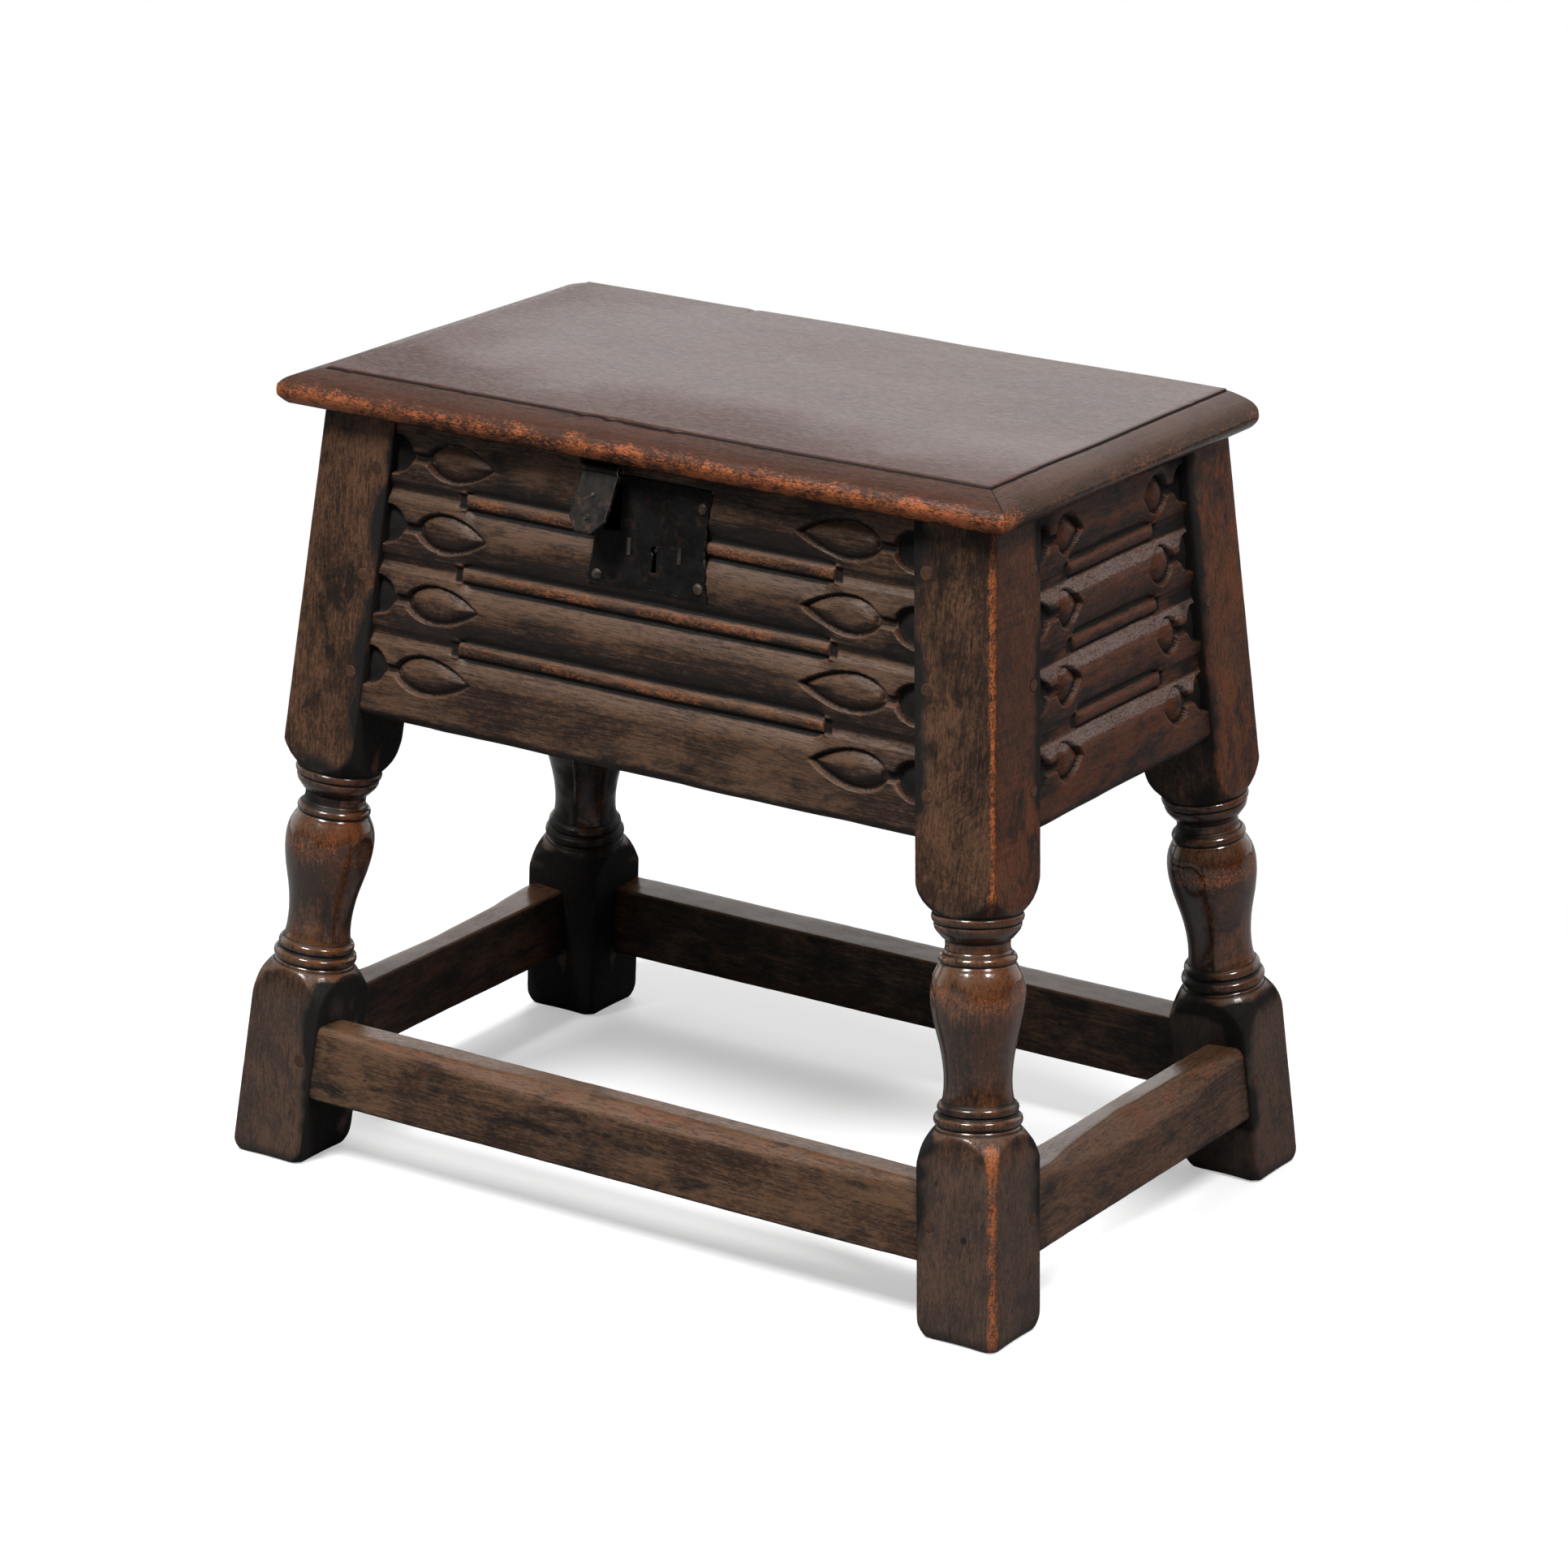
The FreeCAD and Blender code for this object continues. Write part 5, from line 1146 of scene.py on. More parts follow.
def worn_bar(name, side, node, low, section, setback, wear, seed, finish, top_sheen=0.0):
    """A bar between two legs; wear gives the width of the worn corner at each place along it."""
    cant, along = SIDES[side].cant, SIDES[side].along
    width, height = section
    outline = bar_section(width, height, CORNER_ROUND)
    edge = along(low + height / 2) - LEG_SECTION
    share = np.linspace(-1, 1, int(edge * 2 / 2.6))
    share, d = np.meshgrid(share, outline[:, 0], indexing="ij")
    v = np.broadcast_to(outline[:, 1], share.shape)
    u = share * (along(low + v * math.cos(cant)) - LEG_SECTION + HOUSED)
    spots = np.stack([u, d, v], axis=-1) + seed * 71.0
    cut = np.maximum(wear(u) * (1 + 0.25 * lumps(spots, (46, 400, 400), seed)), 0.1)
    gap = cut - (d + height - v)
    cut_back = (np.sqrt(gap ** 2 + SOFTNESS ** 2) + gap) / 2 * (gap > -12) / 2
    d, v = d + cut_back, v - cut_back
    rough = (0.35 * (1 + lumps(spots, (60, 22, 22), seed + 1))
             + 0.14 * (1 + lumps(spots, (9, 7, 7), seed + 2)))
    inwards_d, inwards_v = (width / 2 - d) / width, (height / 2 - v) / height
    mesh = lofted(name, on_side(side, u, low / math.cos(cant) + v + inwards_v * rough,
                                setback + d + inwards_d * rough))
    flat_spots = spots.reshape(-1, 3)
    patchy = (0.30 + 0.25 * lumps(flat_spots, 22.0, seed + 6)
              + 0.25 * lumps(flat_spots, 5.0, seed + 7))
    # Towards the legs the bars are painted darker: painted shade where they meet the legs, with
    # dirt.
    at_ends = ease(26, 4, edge - np.abs(u)).reshape(-1)
    old_marks(mesh, grain_along(SIDES[side].grain), wear=0.55, seed=seed,
              extra_wear_and_sheen=ease(-1.0, 2.0, gap).reshape(-1) * patchy,
              extra_grime_and_shade=unit(at_ends * (0.34 + 0.3 * lumps(flat_spots, 12.0, seed + 8))),
              top_sheen=top_sheen)
    return place(mesh, "box", [node], "oak", finish)


def worn_most(middle, ends, reach):
    """Wear that is deepest half way along."""
    return lambda u: ends + (middle - ends) * unit(1 - (u / reach) ** 2)


for seed, (side, wear, top_sheen) in enumerate((
        ("front", worn_most(8.0, 2.5, 215), 0.3), ("right", worn_most(12.5, 3.5, 105), 0.9),
        ("back", worn_most(2.5, 1.5, 150), 0.9), ("left", worn_most(11.0, 3.0, 110), 0.9)), 61):
    worn_bar("worn_stretcher_" + side, side, "stretcher_" + side, STRETCHER_FOOT,
             STRETCHER_SECTION, 1.5, wear, float(seed), oak_rail, top_sheen)

# %% [markdown]
# ## The bottom of the box
#
# Two loose boards lie on ledges that are nailed inside the front and the back. They were sawn
# and left, so they stay pale and rough, and each is cut round the legs at its corners.

# %% Ledges and bottom boards
for seed, side in ((71.0, "front"), (73.0, "back")):
    worn_bar("sawn_ledge_" + side, side, "ledge_" + side, 287.0, (14.0, 12.0), 24.0,
             worn_most(1.2, 0.8, 100), seed, oak_inside)


def bottom_board(name, node, hand, seed):
    """One board, with its corners cut out for the legs."""
    (_, front, low), (end, back, high) = (np.array(corner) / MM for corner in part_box(node))
    notch_x, notch_y = (half(high) - LEG_SECTION - 0.4 for half in (half_length, half_depth))
    beside = np.array([notch_x + 0.02, notch_x + 6, end])
    x = np.concatenate([-beside[::-1], steps((-notch_x, notch_x, 8.0)), beside])
    outer = max(abs(front), abs(back))
    reach = np.where(np.abs(x) > notch_x + 0.01, notch_y, outer)
    outline = bar_section(1.0, high - low, 0.45)
    rings = np.zeros((len(x), len(outline), 3))
    rings[..., 0] = x[:, None]
    rings[..., 1] = hand * (0.2 + (reach - 0.2)[:, None] * outline[None, :, 0])
    rings[..., 2] = low + outline[None, :, 1]
    top = outline[None, :, 1] > (high - low) / 2
    rings[..., 2] -= np.where(top, 0.25 * (1 + lumps(rings, (70, 30, 30), seed)), 0)
    mesh = lofted(name, rings)
    old_marks(mesh, grain_along((0, 1, 2)), seed=seed)
    return place(mesh, "box", [node], "oak", oak_inside)


bottom_board("sawn_board_front", "bottom_board_front", -1, 81.0)
bottom_board("sawn_board_back", "bottom_board_back", 1, 83.0)

# %% [markdown]
# ## The lid
#
# The lid is one wide board with a moulding worked along its front and both ends; the back is
# left square for the hinges. It is built as rings, from the middle of the underside out round
# the nose and in over the top, so the mitres of the moulding fall exactly on the corners.
# A narrow quirk, the small step behind the moulding, is chipped where the plane tore the grain.

# %% Rings of the lid: inset, height, and how far in from the back
LID_X, LID_FRONT, LID_BACK = 250.0, -156.0, 133.0
LID_FOOT, LID_TOP = 468.0, 490.0
NOSE = [(8, 468.0, 1.2), (6.4, 468.2, 0.6), (4.5, 469.6, 0.25), (2.2, 472.0, 0.0),
        (1.0, 473.6, 0.0), (0.35, 474.9, 0.0), (0.0, 476.1, 0.0), (0.1, 477.2, 0.0),
        (0.5, 478.5, 0.0),
        (1.2, 480.0, 0.0), (2.1, 481.4, 0.0), (3.4, 482.7, 0.0), (5.0, 483.8, 0.0),
        (7.0, 484.7, 0.0), (9.5, 485.6, 0.0), (12.5, 486.5, 0.0), (15.5, 487.3, 0.0),
        (18.5, 488.05, 0.0), (21.0, 488.55, 0.0), (21.8, 488.6, 0.0), (22.2, 488.2, 0.0),
        (22.6, 488.05, 0.0), (22.95, 488.35, 0.05), (23.1, 489.2, 0.15), (23.4, 489.65, 0.4),
        (24.0, 489.9, 0.8), (25.0, 490.0, 1.4)]
under = [(g, LID_FOOT, g - 6.8) for g in (134, 118, 102, 88, 74, 62, 52, 44, 37, 31, 26, 21,
                                          16, 12)]
over = [(g, LID_TOP, g - 23.6) for g in (27, 30, 34, 38.5, 43, 48, 53, 58, 64, 70, 76, 83, 90, 97,
                                         104, 112, 120, 128, 136, 143, 150, 155)]
lid_rings = np.array([(i, z, max(b, 0.0)) for i, z, b in under + NOSE + over])
UNDER = len(under)
CRACK_X = -102


def edge_places():
    """Shares, from -1 to 1, of the points along the front, the ends and the back."""
    corner = steps((0, 3, 0.5))
    along = np.concatenate([steps((0, 3, 0.5), (3, 12, 1.5)), steps((12, 488, 3.4))[1:-1],
                            500 - steps((3, 12, 1.5), (12, 12.1, 1))[::-1][1:],
                            500 - corner[::-1][1:]])
    across = np.concatenate([steps((0, 3, 0.5), (3, 12, 1.5), (12, 277, 3.4)),
                             289 - steps((0, 3, 0.5), (3, 12, 1.5))])
    long = np.unique(np.round(along, 3)) / 250 - 1
    short = np.unique(across) / 144.5 - 1
    beds = [hand * HINGE_X + v for hand in (-1, 1) for v in (-22.15, -21.85, 21.85, 22.15)]
    rear = np.unique(np.concatenate([long, np.array(beds) / 250]))
    return long[:-1], short[:-1], rear[:-1]


def lid_points():
    """All rings of the lid, each going round from its front left corner."""
    inset, level, back = (lid_rings[:, k:k + 1] for k in range(3))
    front, rear = LID_FRONT + inset, LID_BACK - back
    long, short, rear_places = edge_places()

    def stretch_x(share):
        """Places keep still near the edge, and draw together further in."""
        fixed = share * LID_X - np.sign(share) * inset * ease(0.72, 1.0, np.abs(share))
        drawn = share * (LID_X - inset)
        mix = ease(20, 55, inset)
        return fixed * (1 - mix) + drawn * mix

    def stretch_y(share):
        return (front + rear) / 2 + share * (rear - front) / 2

    parts = [np.broadcast_arrays(x, y) for x, y in (
        (stretch_x(long[None]), front), (LID_X - inset, stretch_y(short[None])),
        (stretch_x(-rear_places[None]), rear), (inset - LID_X, stretch_y(-short[None])))]
    x, y = (np.concatenate([part[k] for part in parts], axis=1) for k in (0, 1))
    z = level * np.ones((1, x.shape[1]))
    ends = np.cumsum([len(long), len(short), len(rear_places)])
    at_back = np.zeros(x.shape[1], bool)
    at_back[ends[1]:ends[2] + 1] = True
    z[:, at_back] = np.maximum.accumulate(z[:, at_back], axis=0)
    return np.stack([x, y, z], axis=-1), at_back


def shape_lid():
    """The lid with its dips, its chipped quirk, its rounded corners and its hinge beds."""
    rings, at_back = lid_points()
    inset = lid_rings[:, :1] * np.ones((1, rings.shape[1]))
    order = np.arange(len(lid_rings))[:, None] * np.ones((1, rings.shape[1]))
    x, y, z = (rings[..., k] for k in range(3))
    upper, on_top = order >= UNDER, order >= UNDER + 10
    spots = rings + np.array([13.0, 5.0, 0.0])
    flat_spots, row_spots = spots * [1, 1, 0], spots * [1, 0, 0]
    dip = (0.42 * (1 - lumps(flat_spots, (120, 60, 60), 91))
           + 0.10 * (1 - lumps(flat_spots, (26, 14, 14), 92)))
    level_middle = ease(112, 150, inset)
    dip = dip * (1 - level_middle) + 0.5 * level_middle
    z = z - dip * on_top * (0.35 + 0.65 * ease(9, 24, inset))
    worn = (0.5 * (1 + lumps(spots, (38, 38, 400), 93))
            + 0.25 * (1 + lumps(spots, (11, 11, 400), 94)))
    pushed_in = 0.45 * worn * ease(9, 0.5, inset) * upper
    x = x - np.sign(x) * (np.abs(x) >= LID_X - inset - 0.01) * pushed_in
    y = y + (y <= LID_FRONT + inset + 0.01) * pushed_in
    torn = ((y < LID_FRONT + 30) & (np.abs(inset - 22.4) < 2.2)).astype(float)
    chips = lumps(row_spots, (9, 50, 50), 95) + 0.9 * ease(70, 20, np.abs(x + 8)) - 0.35
    chips = torn * ease(0.15, 0.75, chips)
    y = y - chips * 1.1 * (inset > 22.3)
    z = z - chips * 0.9 * ease(23.6, 22.8, inset)
    few = ease(0.55, 0.9, lumps(flat_spots, (12, 12, 50), 96))
    z = z - few * 0.35 * (np.abs(inset - 22.8) < 1.2)
    for corner_x, corner_y in itertools.product((-LID_X, LID_X), (LID_FRONT, LID_BACK)):
        beyond = np.abs(x - corner_x) + np.abs(y - corner_y)
        radius = 3.2 if corner_y < 0 else 1.6
        short_by = (radius - beyond) / 2 * ((beyond < radius) & upper) * 0.75
        x = x - np.sign(corner_x) * short_by
        y = y - np.sign(corner_y) * short_by
    beds = (~upper) & (np.abs(np.abs(x) - HINGE_X) < 22.05) & (y > 114.5)
    z = np.where(beds, 469.66, z)
    kink = np.exp(-((x - CRACK_X) / 2.2) ** 2) * (y > 128) * (order > UNDER + 12)
    return np.stack([x, y - 0.9 * kink, z - 0.5 * kink], axis=-1), inset, order, at_back


def make_lid():
    """The lid's mesh, with three finishes: waxed top, rubbed moulding, bare underside."""
    rings, inset, order, at_back = shape_lid()
    mesh = lofted("moulded_lid_board", rings)
    at_end = np.abs(rings[..., 0]) - LID_X > LID_FRONT - rings[..., 1]
    at_end = (at_end & ~at_back[None] & (inset < 22.9)).reshape(-1)
    inset, order, spots = inset.reshape(-1), order.reshape(-1), rings.reshape(-1, 3)
    x, y, z = spots.T
    from_front, from_left = y - LID_FRONT, x + LID_X
    drift = 26 * lumps(spots, 60.0, 95, 3)
    sheen = (0.88 - 0.75 * ease(112, 26, from_front + drift)
             - 0.45 * ease(100, 20, from_left + drift))
    lower_nose = ease(488.2, 476.0, z) * ease(467.5, 470, z) * (inset < 18)
    worn = lower_nose * (0.70 + 0.26 * lumps(spots, 18.0, 97) + 0.26 * lumps(spots, 4.0, 98))
    worn = worn * np.where(from_front > 20, 0.55, 1.0)
    mitre = ease(1.1, 0.2, np.abs(LID_X - np.abs(x) - from_front)) * (inset > 3) * (inset < 24)
    quirk = ease(1.1, 0.4, np.abs(inset - 22.5)) * (order > UNDER + 12)
    crack = np.exp(-((x - CRACK_X) / 1.5) ** 2) * (y > 126) * (z > 480)
    underside = 0.25 * (order < UNDER + 2)

    def grain(co):
        return np.where(at_end[:, None], co[:, [1, 0, 2]], co)

    old_marks(mesh, grain, wear=0.5, seed=99.0, extra_wear_and_sheen=worn, polish=sheen,
              extra_grime_and_shade=unit(0.75 * mitre + quirk + crack + underside))
    piece = place(mesh, "lid", ["lid_board"], "oak", oak_top)
    mesh.materials.append(oak_edge)
    mesh.materials.append(oak_inside)
    band = np.repeat(np.arange(len(lid_rings) - 1), rings.shape[1])
    finishes = np.where(band < UNDER - 3, 2, np.where(band < UNDER + 22, 1, 0))
    mesh.polygons.foreach_set("material_index", np.append(finishes, [2, 0]).astype(np.int32))
    mesh.update()
    return piece


make_lid()

# %% [markdown]
# ## Plates cut from sheet
#
# The lock plate and the hasp are flat iron with filed edges. Their outlines are filled with
# triangles that stand closer at the edge, and the edge is rounded over by the file.

# %% Filling an outline, with holes and filed edges
def along_outline(outline, gap):
    """The same outline with points no further apart than the gap."""
    found = []
    for start, stop in zip(outline, np.roll(outline, -1, axis=0)):
        count = max(1, int(math.ceil(np.linalg.norm(stop - start) / gap)))
        found.append(start + (stop - start) * (np.arange(count) / count)[:, None])
    return np.concatenate(found)


def filled(loops, gap, file_width):
    """Points and triangles between closed outlines, and how far each point is from an edge."""
    low, high = loops[0].min(0), loops[0].max(0)
    grid = np.stack(np.meshgrid(np.arange(low[0], high[0], gap),
                                np.arange(low[1], high[1], gap)), axis=-1)

    def reach(points):
        inside = [inside_outline(points[:, 0], points[:, 1], loop) for loop in loops]
        return np.min([inside[0]] + [-hole for hole in inside[1:]], axis=0)

    grid = grid.reshape(-1, 2) + 0.13
    points = [grid[reach(grid) > file_width * 1.5]]
    for loop in loops:
        line = np.roll(loop, -1, axis=0) - np.roll(loop, 1, axis=0)
        side = np.stack([-line[:, 1], line[:, 0]], axis=-1) / np.linalg.norm(line, axis=1)[:, None]
        for share, hand in itertools.product((0.35, 1.0), (-1, 1)):
            moved = loop + side * hand * file_width * share
            points.append(moved[reach(moved) > file_width * share * 0.9])
    edges, start = [], 0
    for loop in loops:
        n = len(loop)
        edges += [(start + k, start + (k + 1) % n) for k in range(n)]
        start += n
    spots = [mathutils.Vector(p) for p in np.concatenate(loops + points)]
    found = mathutils.geometry.delaunay_2d_cdt(spots, edges, [], 1, 1e-5)
    flat = np.array([tuple(v) for v in found[0]])
    faces = np.array([f for f in found[2] if len(f) == 3])
    faces = faces[reach(flat[faces].mean(axis=1)) > -1e-6]
    a, b, c = (flat[faces[:, k]] for k in range(3))
    clockwise = ((b - a)[:, 0] * (c - a)[:, 1] - (b - a)[:, 1] * (c - a)[:, 0]) < 0
    return flat, np.where(clockwise[:, None], faces[:, ::-1], faces), np.maximum(reach(flat), 0)


def soften(mesh):
    """Smooth faces, with the sharp edges kept."""
    mesh.polygons.foreach_set("use_smooth", np.ones(len(mesh.polygons), bool))
    mesh.set_sharp_from_angle(angle=math.radians(50))


def sheet_solid(name, outline, holes, thickness, file_width, gap, to_space, dent=0.0, seed=0.0):
    """A plate from its outline; to_space takes along, up and depth below the front face."""
    loops = [along_outline(np.asarray(o, float), gap * 0.6) for o in (outline, *holes)]
    flat, faces, depth_in = filled(loops, gap, file_width)
    fall = file_width * (1 - np.sqrt(unit(1 - (1 - unit(depth_in / file_width)) ** 2)))
    upright = np.stack([flat[:, 0], 0 * flat[:, 0], flat[:, 1]], axis=-1)
    dents = dent * (0.5 + 0.5 * lumps(upright, 9.0, seed)) * unit(depth_in / 2)
    front = to_space(flat[:, 0], flat[:, 1], fall + dents)
    back = to_space(flat[:, 0], flat[:, 1], thickness - fall * 0.4)
    n = len(flat)
    pairs = {(f[k], f[(k + 1) % 3]): True for f in faces for k in range(3)}
    sides = [(j, i, i + n, j + n) for i, j in pairs if (j, i) not in pairs]
    everything = [tuple(f) for f in faces] + [tuple(n + v for v in f[::-1]) for f in faces] + sides
    mesh = bpy.data.meshes.new(name)
    mesh.from_pydata((np.concatenate([front, back]) * MM).tolist(), [], everything)
    mesh.validate()
    mesh.update()
    test = bmesh.new()
    test.from_mesh(mesh)
    if test.calc_volume(signed=True) < 0:
        bmesh.ops.reverse_faces(test, faces=test.faces)
        test.to_mesh(mesh)
    test.free()
    soften(mesh)
    return mesh, np.concatenate([depth_in, depth_in * 0])


def iron_marks(mesh, rubbed=0.0, grime=0.0):
    """Rubbed edges and dirt for iron."""
    co, _, bend = corner_shape(mesh, reach=1)
    write_marks(mesh, rubbed=unit(ease(0.25, 0.9, bend) * (0.6 + 0.5 * lumps(co, 6.0, 4)) + rubbed),
                grime=unit(ease(0.2, 0.7, -bend) + grime))


# %% [markdown]
# ## The lock plate
#
# The plate has a tall slot that takes the hasp's loop, and a keyhole.

# %% Lock plate
def front_space(x, h, depth):
    """Places on the plate: its front is flush with the rail's face."""
    up = (h + SETBACK * math.sin(SIDE_CANT)) / math.cos(SIDE_CANT)
    return on_side("front", x, up, SETBACK + depth)


KEY_X, KEY_Z, KEY_RADIUS = 7.5, 417.0, 2.5
slot = np.array([(-28.5, 424.0), (-16.5, 424.0), (-16.5, 452.0), (-28.5, 452.0)])
key_turn = np.radians(np.linspace(-53, 233, 17))
keyhole = np.concatenate([
    np.stack([KEY_X + KEY_RADIUS * np.cos(key_turn),
              KEY_Z + KEY_RADIUS * np.sin(key_turn)], axis=-1),
    [(KEY_X - 1.5, KEY_Z - 13), (KEY_X + 1.5, KEY_Z - 13)]])
plate_mesh, depth_in = sheet_solid("filed_lock_plate", plate_outline(0.0), [slot, keyhole], 1.6,
                                   0.5, 1.7, front_space, dent=0.3, seed=3.0)
iron_marks(plate_mesh, grime=ease(2.4, 0.6, depth_in) * 0.35 * (depth_in > 0.5))
place(plate_mesh, "box", ["lock_plate"], "iron", iron_plate)

# %% [markdown]
# ## The hasp
#
# The strap hangs from an eye under the lid, a little away from the plate, because its loop
# catches the edge of the slot. Its top is rolled into a barrel round the eye's crossbar, and
# its lower corners are clipped.

# %% Hasp strap, its barrel, the loop and the eye
EYE = np.array([-26.0, -139.667, 461.0])
SWING = math.radians(24.0) + SIDE_CANT
STRAP_THICKNESS, BARREL_RADIUS = 2.2, 3.5
STRAP = [(-12.6, -1.0), (-12.6, -30.2), (-12.0, -31.2), (-6.2, -38.5), (-5.2, -39.0), (5.0, -39.0),
         (6.0, -38.5), (12.1, -31.0), (12.6, -30.0), (12.6, -1.0)]
BARREL = [(-12.6, 0.55), (-12.55, 0.3), (-12.3, 0.1), (-11.9, 0), (-8, 0), (-4, 0.05), (0, 0.1),
          (4, 0.05), (8, 0), (11.9, 0), (12.3, 0.1), (12.55, 0.3), (12.6, 0.55)]


def hang_space(x, up, back):
    """Places on the hanging hasp: along its barrel, up its length, and back towards the box."""
    x, up, back = np.broadcast_arrays(*(np.asarray(v, float) for v in (x, up, back)))
    c, s = math.cos(-SWING), math.sin(-SWING)
    return EYE + np.stack([x, back * c - up * s, back * s + up * c], axis=-1)


def eye_space(x, up, back):
    """Places about the middle of the eye, upright."""
    return EYE + np.stack(np.broadcast_arrays(x, back, up), axis=-1)


def joined(name, meshes):
    """One mesh from several; their stored marks come along."""
    whole = bmesh.new()
    for one in meshes:
        whole.from_mesh(one)
    made = bpy.data.meshes.new(name)
    whole.to_mesh(made)
    whole.free()
    return made


def on_strap(x, up, depth):
    """Places on the strap, which is hollow by a hair across its width."""
    return hang_space(x, up, depth - STRAP_THICKNESS / 2 + 0.0012 * x * x)


strap, _ = sheet_solid("strap", STRAP, [], STRAP_THICKNESS, 0.55, 1.4, on_strap,
                       dent=0.35, seed=8.0)
along_barrel, worn_off = np.array(BARREL).T
bx, bt = np.meshgrid(along_barrel, np.linspace(0, 2 * math.pi, 29)[:-1], indexing="ij")
around = (BARREL_RADIUS - worn_off)[:, None] * (1 + 0.03 * np.cos(3 * bt + 1))
barrel = lofted("barrel", hang_space(bx, around * np.sin(bt), around * np.cos(bt)))
hasp_mesh = joined("forged_hasp_strap", [strap, barrel])
soften(hasp_mesh)
iron_marks(hasp_mesh)
place(hasp_mesh, "hasp", ["hasp_strap"], "iron", iron_hasp)


def wire(name, points, half, space, power=2):
    """Bent wire through a path: round for a power of 2, and nearly square for 8."""
    way = np.gradient(points, axis=0)
    way /= np.linalg.norm(way, axis=1)[:, None]
    flat = np.array([1.0, 0, 0]) if abs(way[:, 0]).max() < 0.9 else np.array([0, 1.0, 0])
    first = flat - way * np.sum(way * flat, axis=1)[:, None]
    first /= np.linalg.norm(first, axis=1)[:, None]
    second = np.cross(way, first)
    angle = np.arange(24) * math.pi / 12
    size = (np.abs(np.cos(angle)) ** power + np.abs(np.sin(angle)) ** power) ** (-1 / power) * half
    x, y = ((size * turn(angle))[None, :, None] for turn in (np.cos, np.sin))
    rings = points[:, None] + first[:, None] * x + second[:, None] * y
    return lofted(name, space(rings[..., 0], rings[..., 2], rings[..., 1]))


def bent_path(corners, radius, straight=7):
    """A path through corners, each one rounded."""
    corners = [np.array(c, float) for c in corners]
    path = [corners[0]]
    for before, at, after in zip(corners, corners[1:], corners[2:]):
        a = at + (before - at) / np.linalg.norm(before - at) * radius
        b = at + (after - at) / np.linalg.norm(after - at) * radius
        path += list(path[-1] + (a - path[-1]) * np.linspace(0, 1, straight)[1:-1, None])
        t = np.linspace(0, 1, 7)[:, None]
        path += list(a * (1 - t) ** 2 + at * 2 * t * (1 - t) + b * t ** 2)
    path += list(path[-1] + (corners[-1] - path[-1]) * np.linspace(0, 1, straight)[1:, None])
    return np.array(path)


loop_path = bent_path([(0, -1.6, -16.25), (0, 14.6, -16.25), (0, 14.6, -29.75),
                       (0, -1.6, -29.75)], 2.2)
eye_path = bent_path([(-14.6, 0, 20.0), (-14.6, 0, 0), (14.6, 0, 0), (14.6, 0, 20.0)], 1.6,
                     straight=9)
for node, mesh, body, rubbed in (
        ("hasp_loop", wire("forged_hasp_loop", loop_path, 1.45, hang_space, power=8), "hasp", 0.2),
        ("hasp_eye", wire("forged_hasp_eye", eye_path, 1.48, eye_space), "lid", 0.15)):
    iron_marks(mesh, rubbed=rubbed)
    place(mesh, body, [node], "iron", iron_hasp)

# %% [markdown]
# ## Nails and pegs
#
# Every nail head is a low dome that the hammer left lopsided, and every peg is an oak pin cut
# off with a chisel. There are dozens of pegs and a few nails, so a node tree sets one shape on a
# list of points and turns each copy by its own amount: the points carry the way out of the wood.

# %% The node tree that sets heads on points
def chance(tree, seed, low, high):
    """A random number for each point."""
    return add(tree, "FunctionNodeRandomValue", data_type="FLOAT",
               named={2: low, 3: high, "Seed": seed})[1]


def head_tree():
    """Instances of one head on points that know which way is out, each spun and sized."""
    tree, got = new_group("heads on points", "GeometryNodeTree", Points="Geometry", Head="Object",
                          Size=1.0, Size_Change=0.1, Seed=1, Finish="Material")
    change = chance(tree, got["Seed"], got["Size_Change"] * -1.0, got["Size_Change"])
    spin = chance(tree, got["Seed"], 0.0, 2 * math.pi)
    aim = add(tree, "FunctionNodeAlignRotationToVector", axis="Z",
              named={"Vector": stored(tree, "out", "FLOAT_VECTOR")})
    turned = add(tree, "FunctionNodeRotateRotation", aim, rotation_space="LOCAL",
                 named={1: add(tree, "ShaderNodeCombineXYZ", 0.0, 0.0, spin)})
    head = add(tree, "GeometryNodeObjectInfo", named={"Object": got["Head"]})["Geometry"]
    copies = add(tree, "GeometryNodeInstanceOnPoints", got["Points"], named={
        "Instance": head, "Rotation": turned, "Scale": got["Size"] * (1.0 + change)})
    finished(tree, copies, got["Finish"], "Heads")
    return tree


def round_head(name, profile, sides, lopsided, seed):
    """One head: rings of a profile of radius and height, a little out of round."""
    turn = np.arange(sides) * 2 * math.pi / sides
    radius, height = (np.array(profile)[:, k:k + 1] for k in (0, 1))
    shape = np.cos(2 * turn + seed) + 0.6 * np.cos(3 * turn + 2 * seed) + 0.4 * np.cos(5 * turn)
    around = radius * (1 + lopsided * shape)
    mesh = lofted(name, np.stack([around * np.cos(turn), around * np.sin(turn),
                                  height + lopsided * radius * np.cos(turn + seed)], axis=-1))
    iron_marks(mesh)
    return bpy.data.objects.new(name, mesh)


DOME = [(3.1, -0.4), (3.15, 0.0), (3.1, 0.35), (2.8, 0.75), (2.2, 1.1), (1.4, 1.32), (0.6, 1.4),
        (0.12, 1.42)]
PEG = [(3.85, -1.5), (3.9, -0.1), (3.8, 0.08), (3.5, 0.2), (3.0, 0.26), (1.9, 0.28), (0.8, 0.28),
       (0.12, 0.27)]
heads = {"dome": round_head("dome", DOME, 18, 0.05, 1.0),
         "peg": round_head("peg", PEG, 20, 0.018, 3.0)}
set_heads = head_tree()


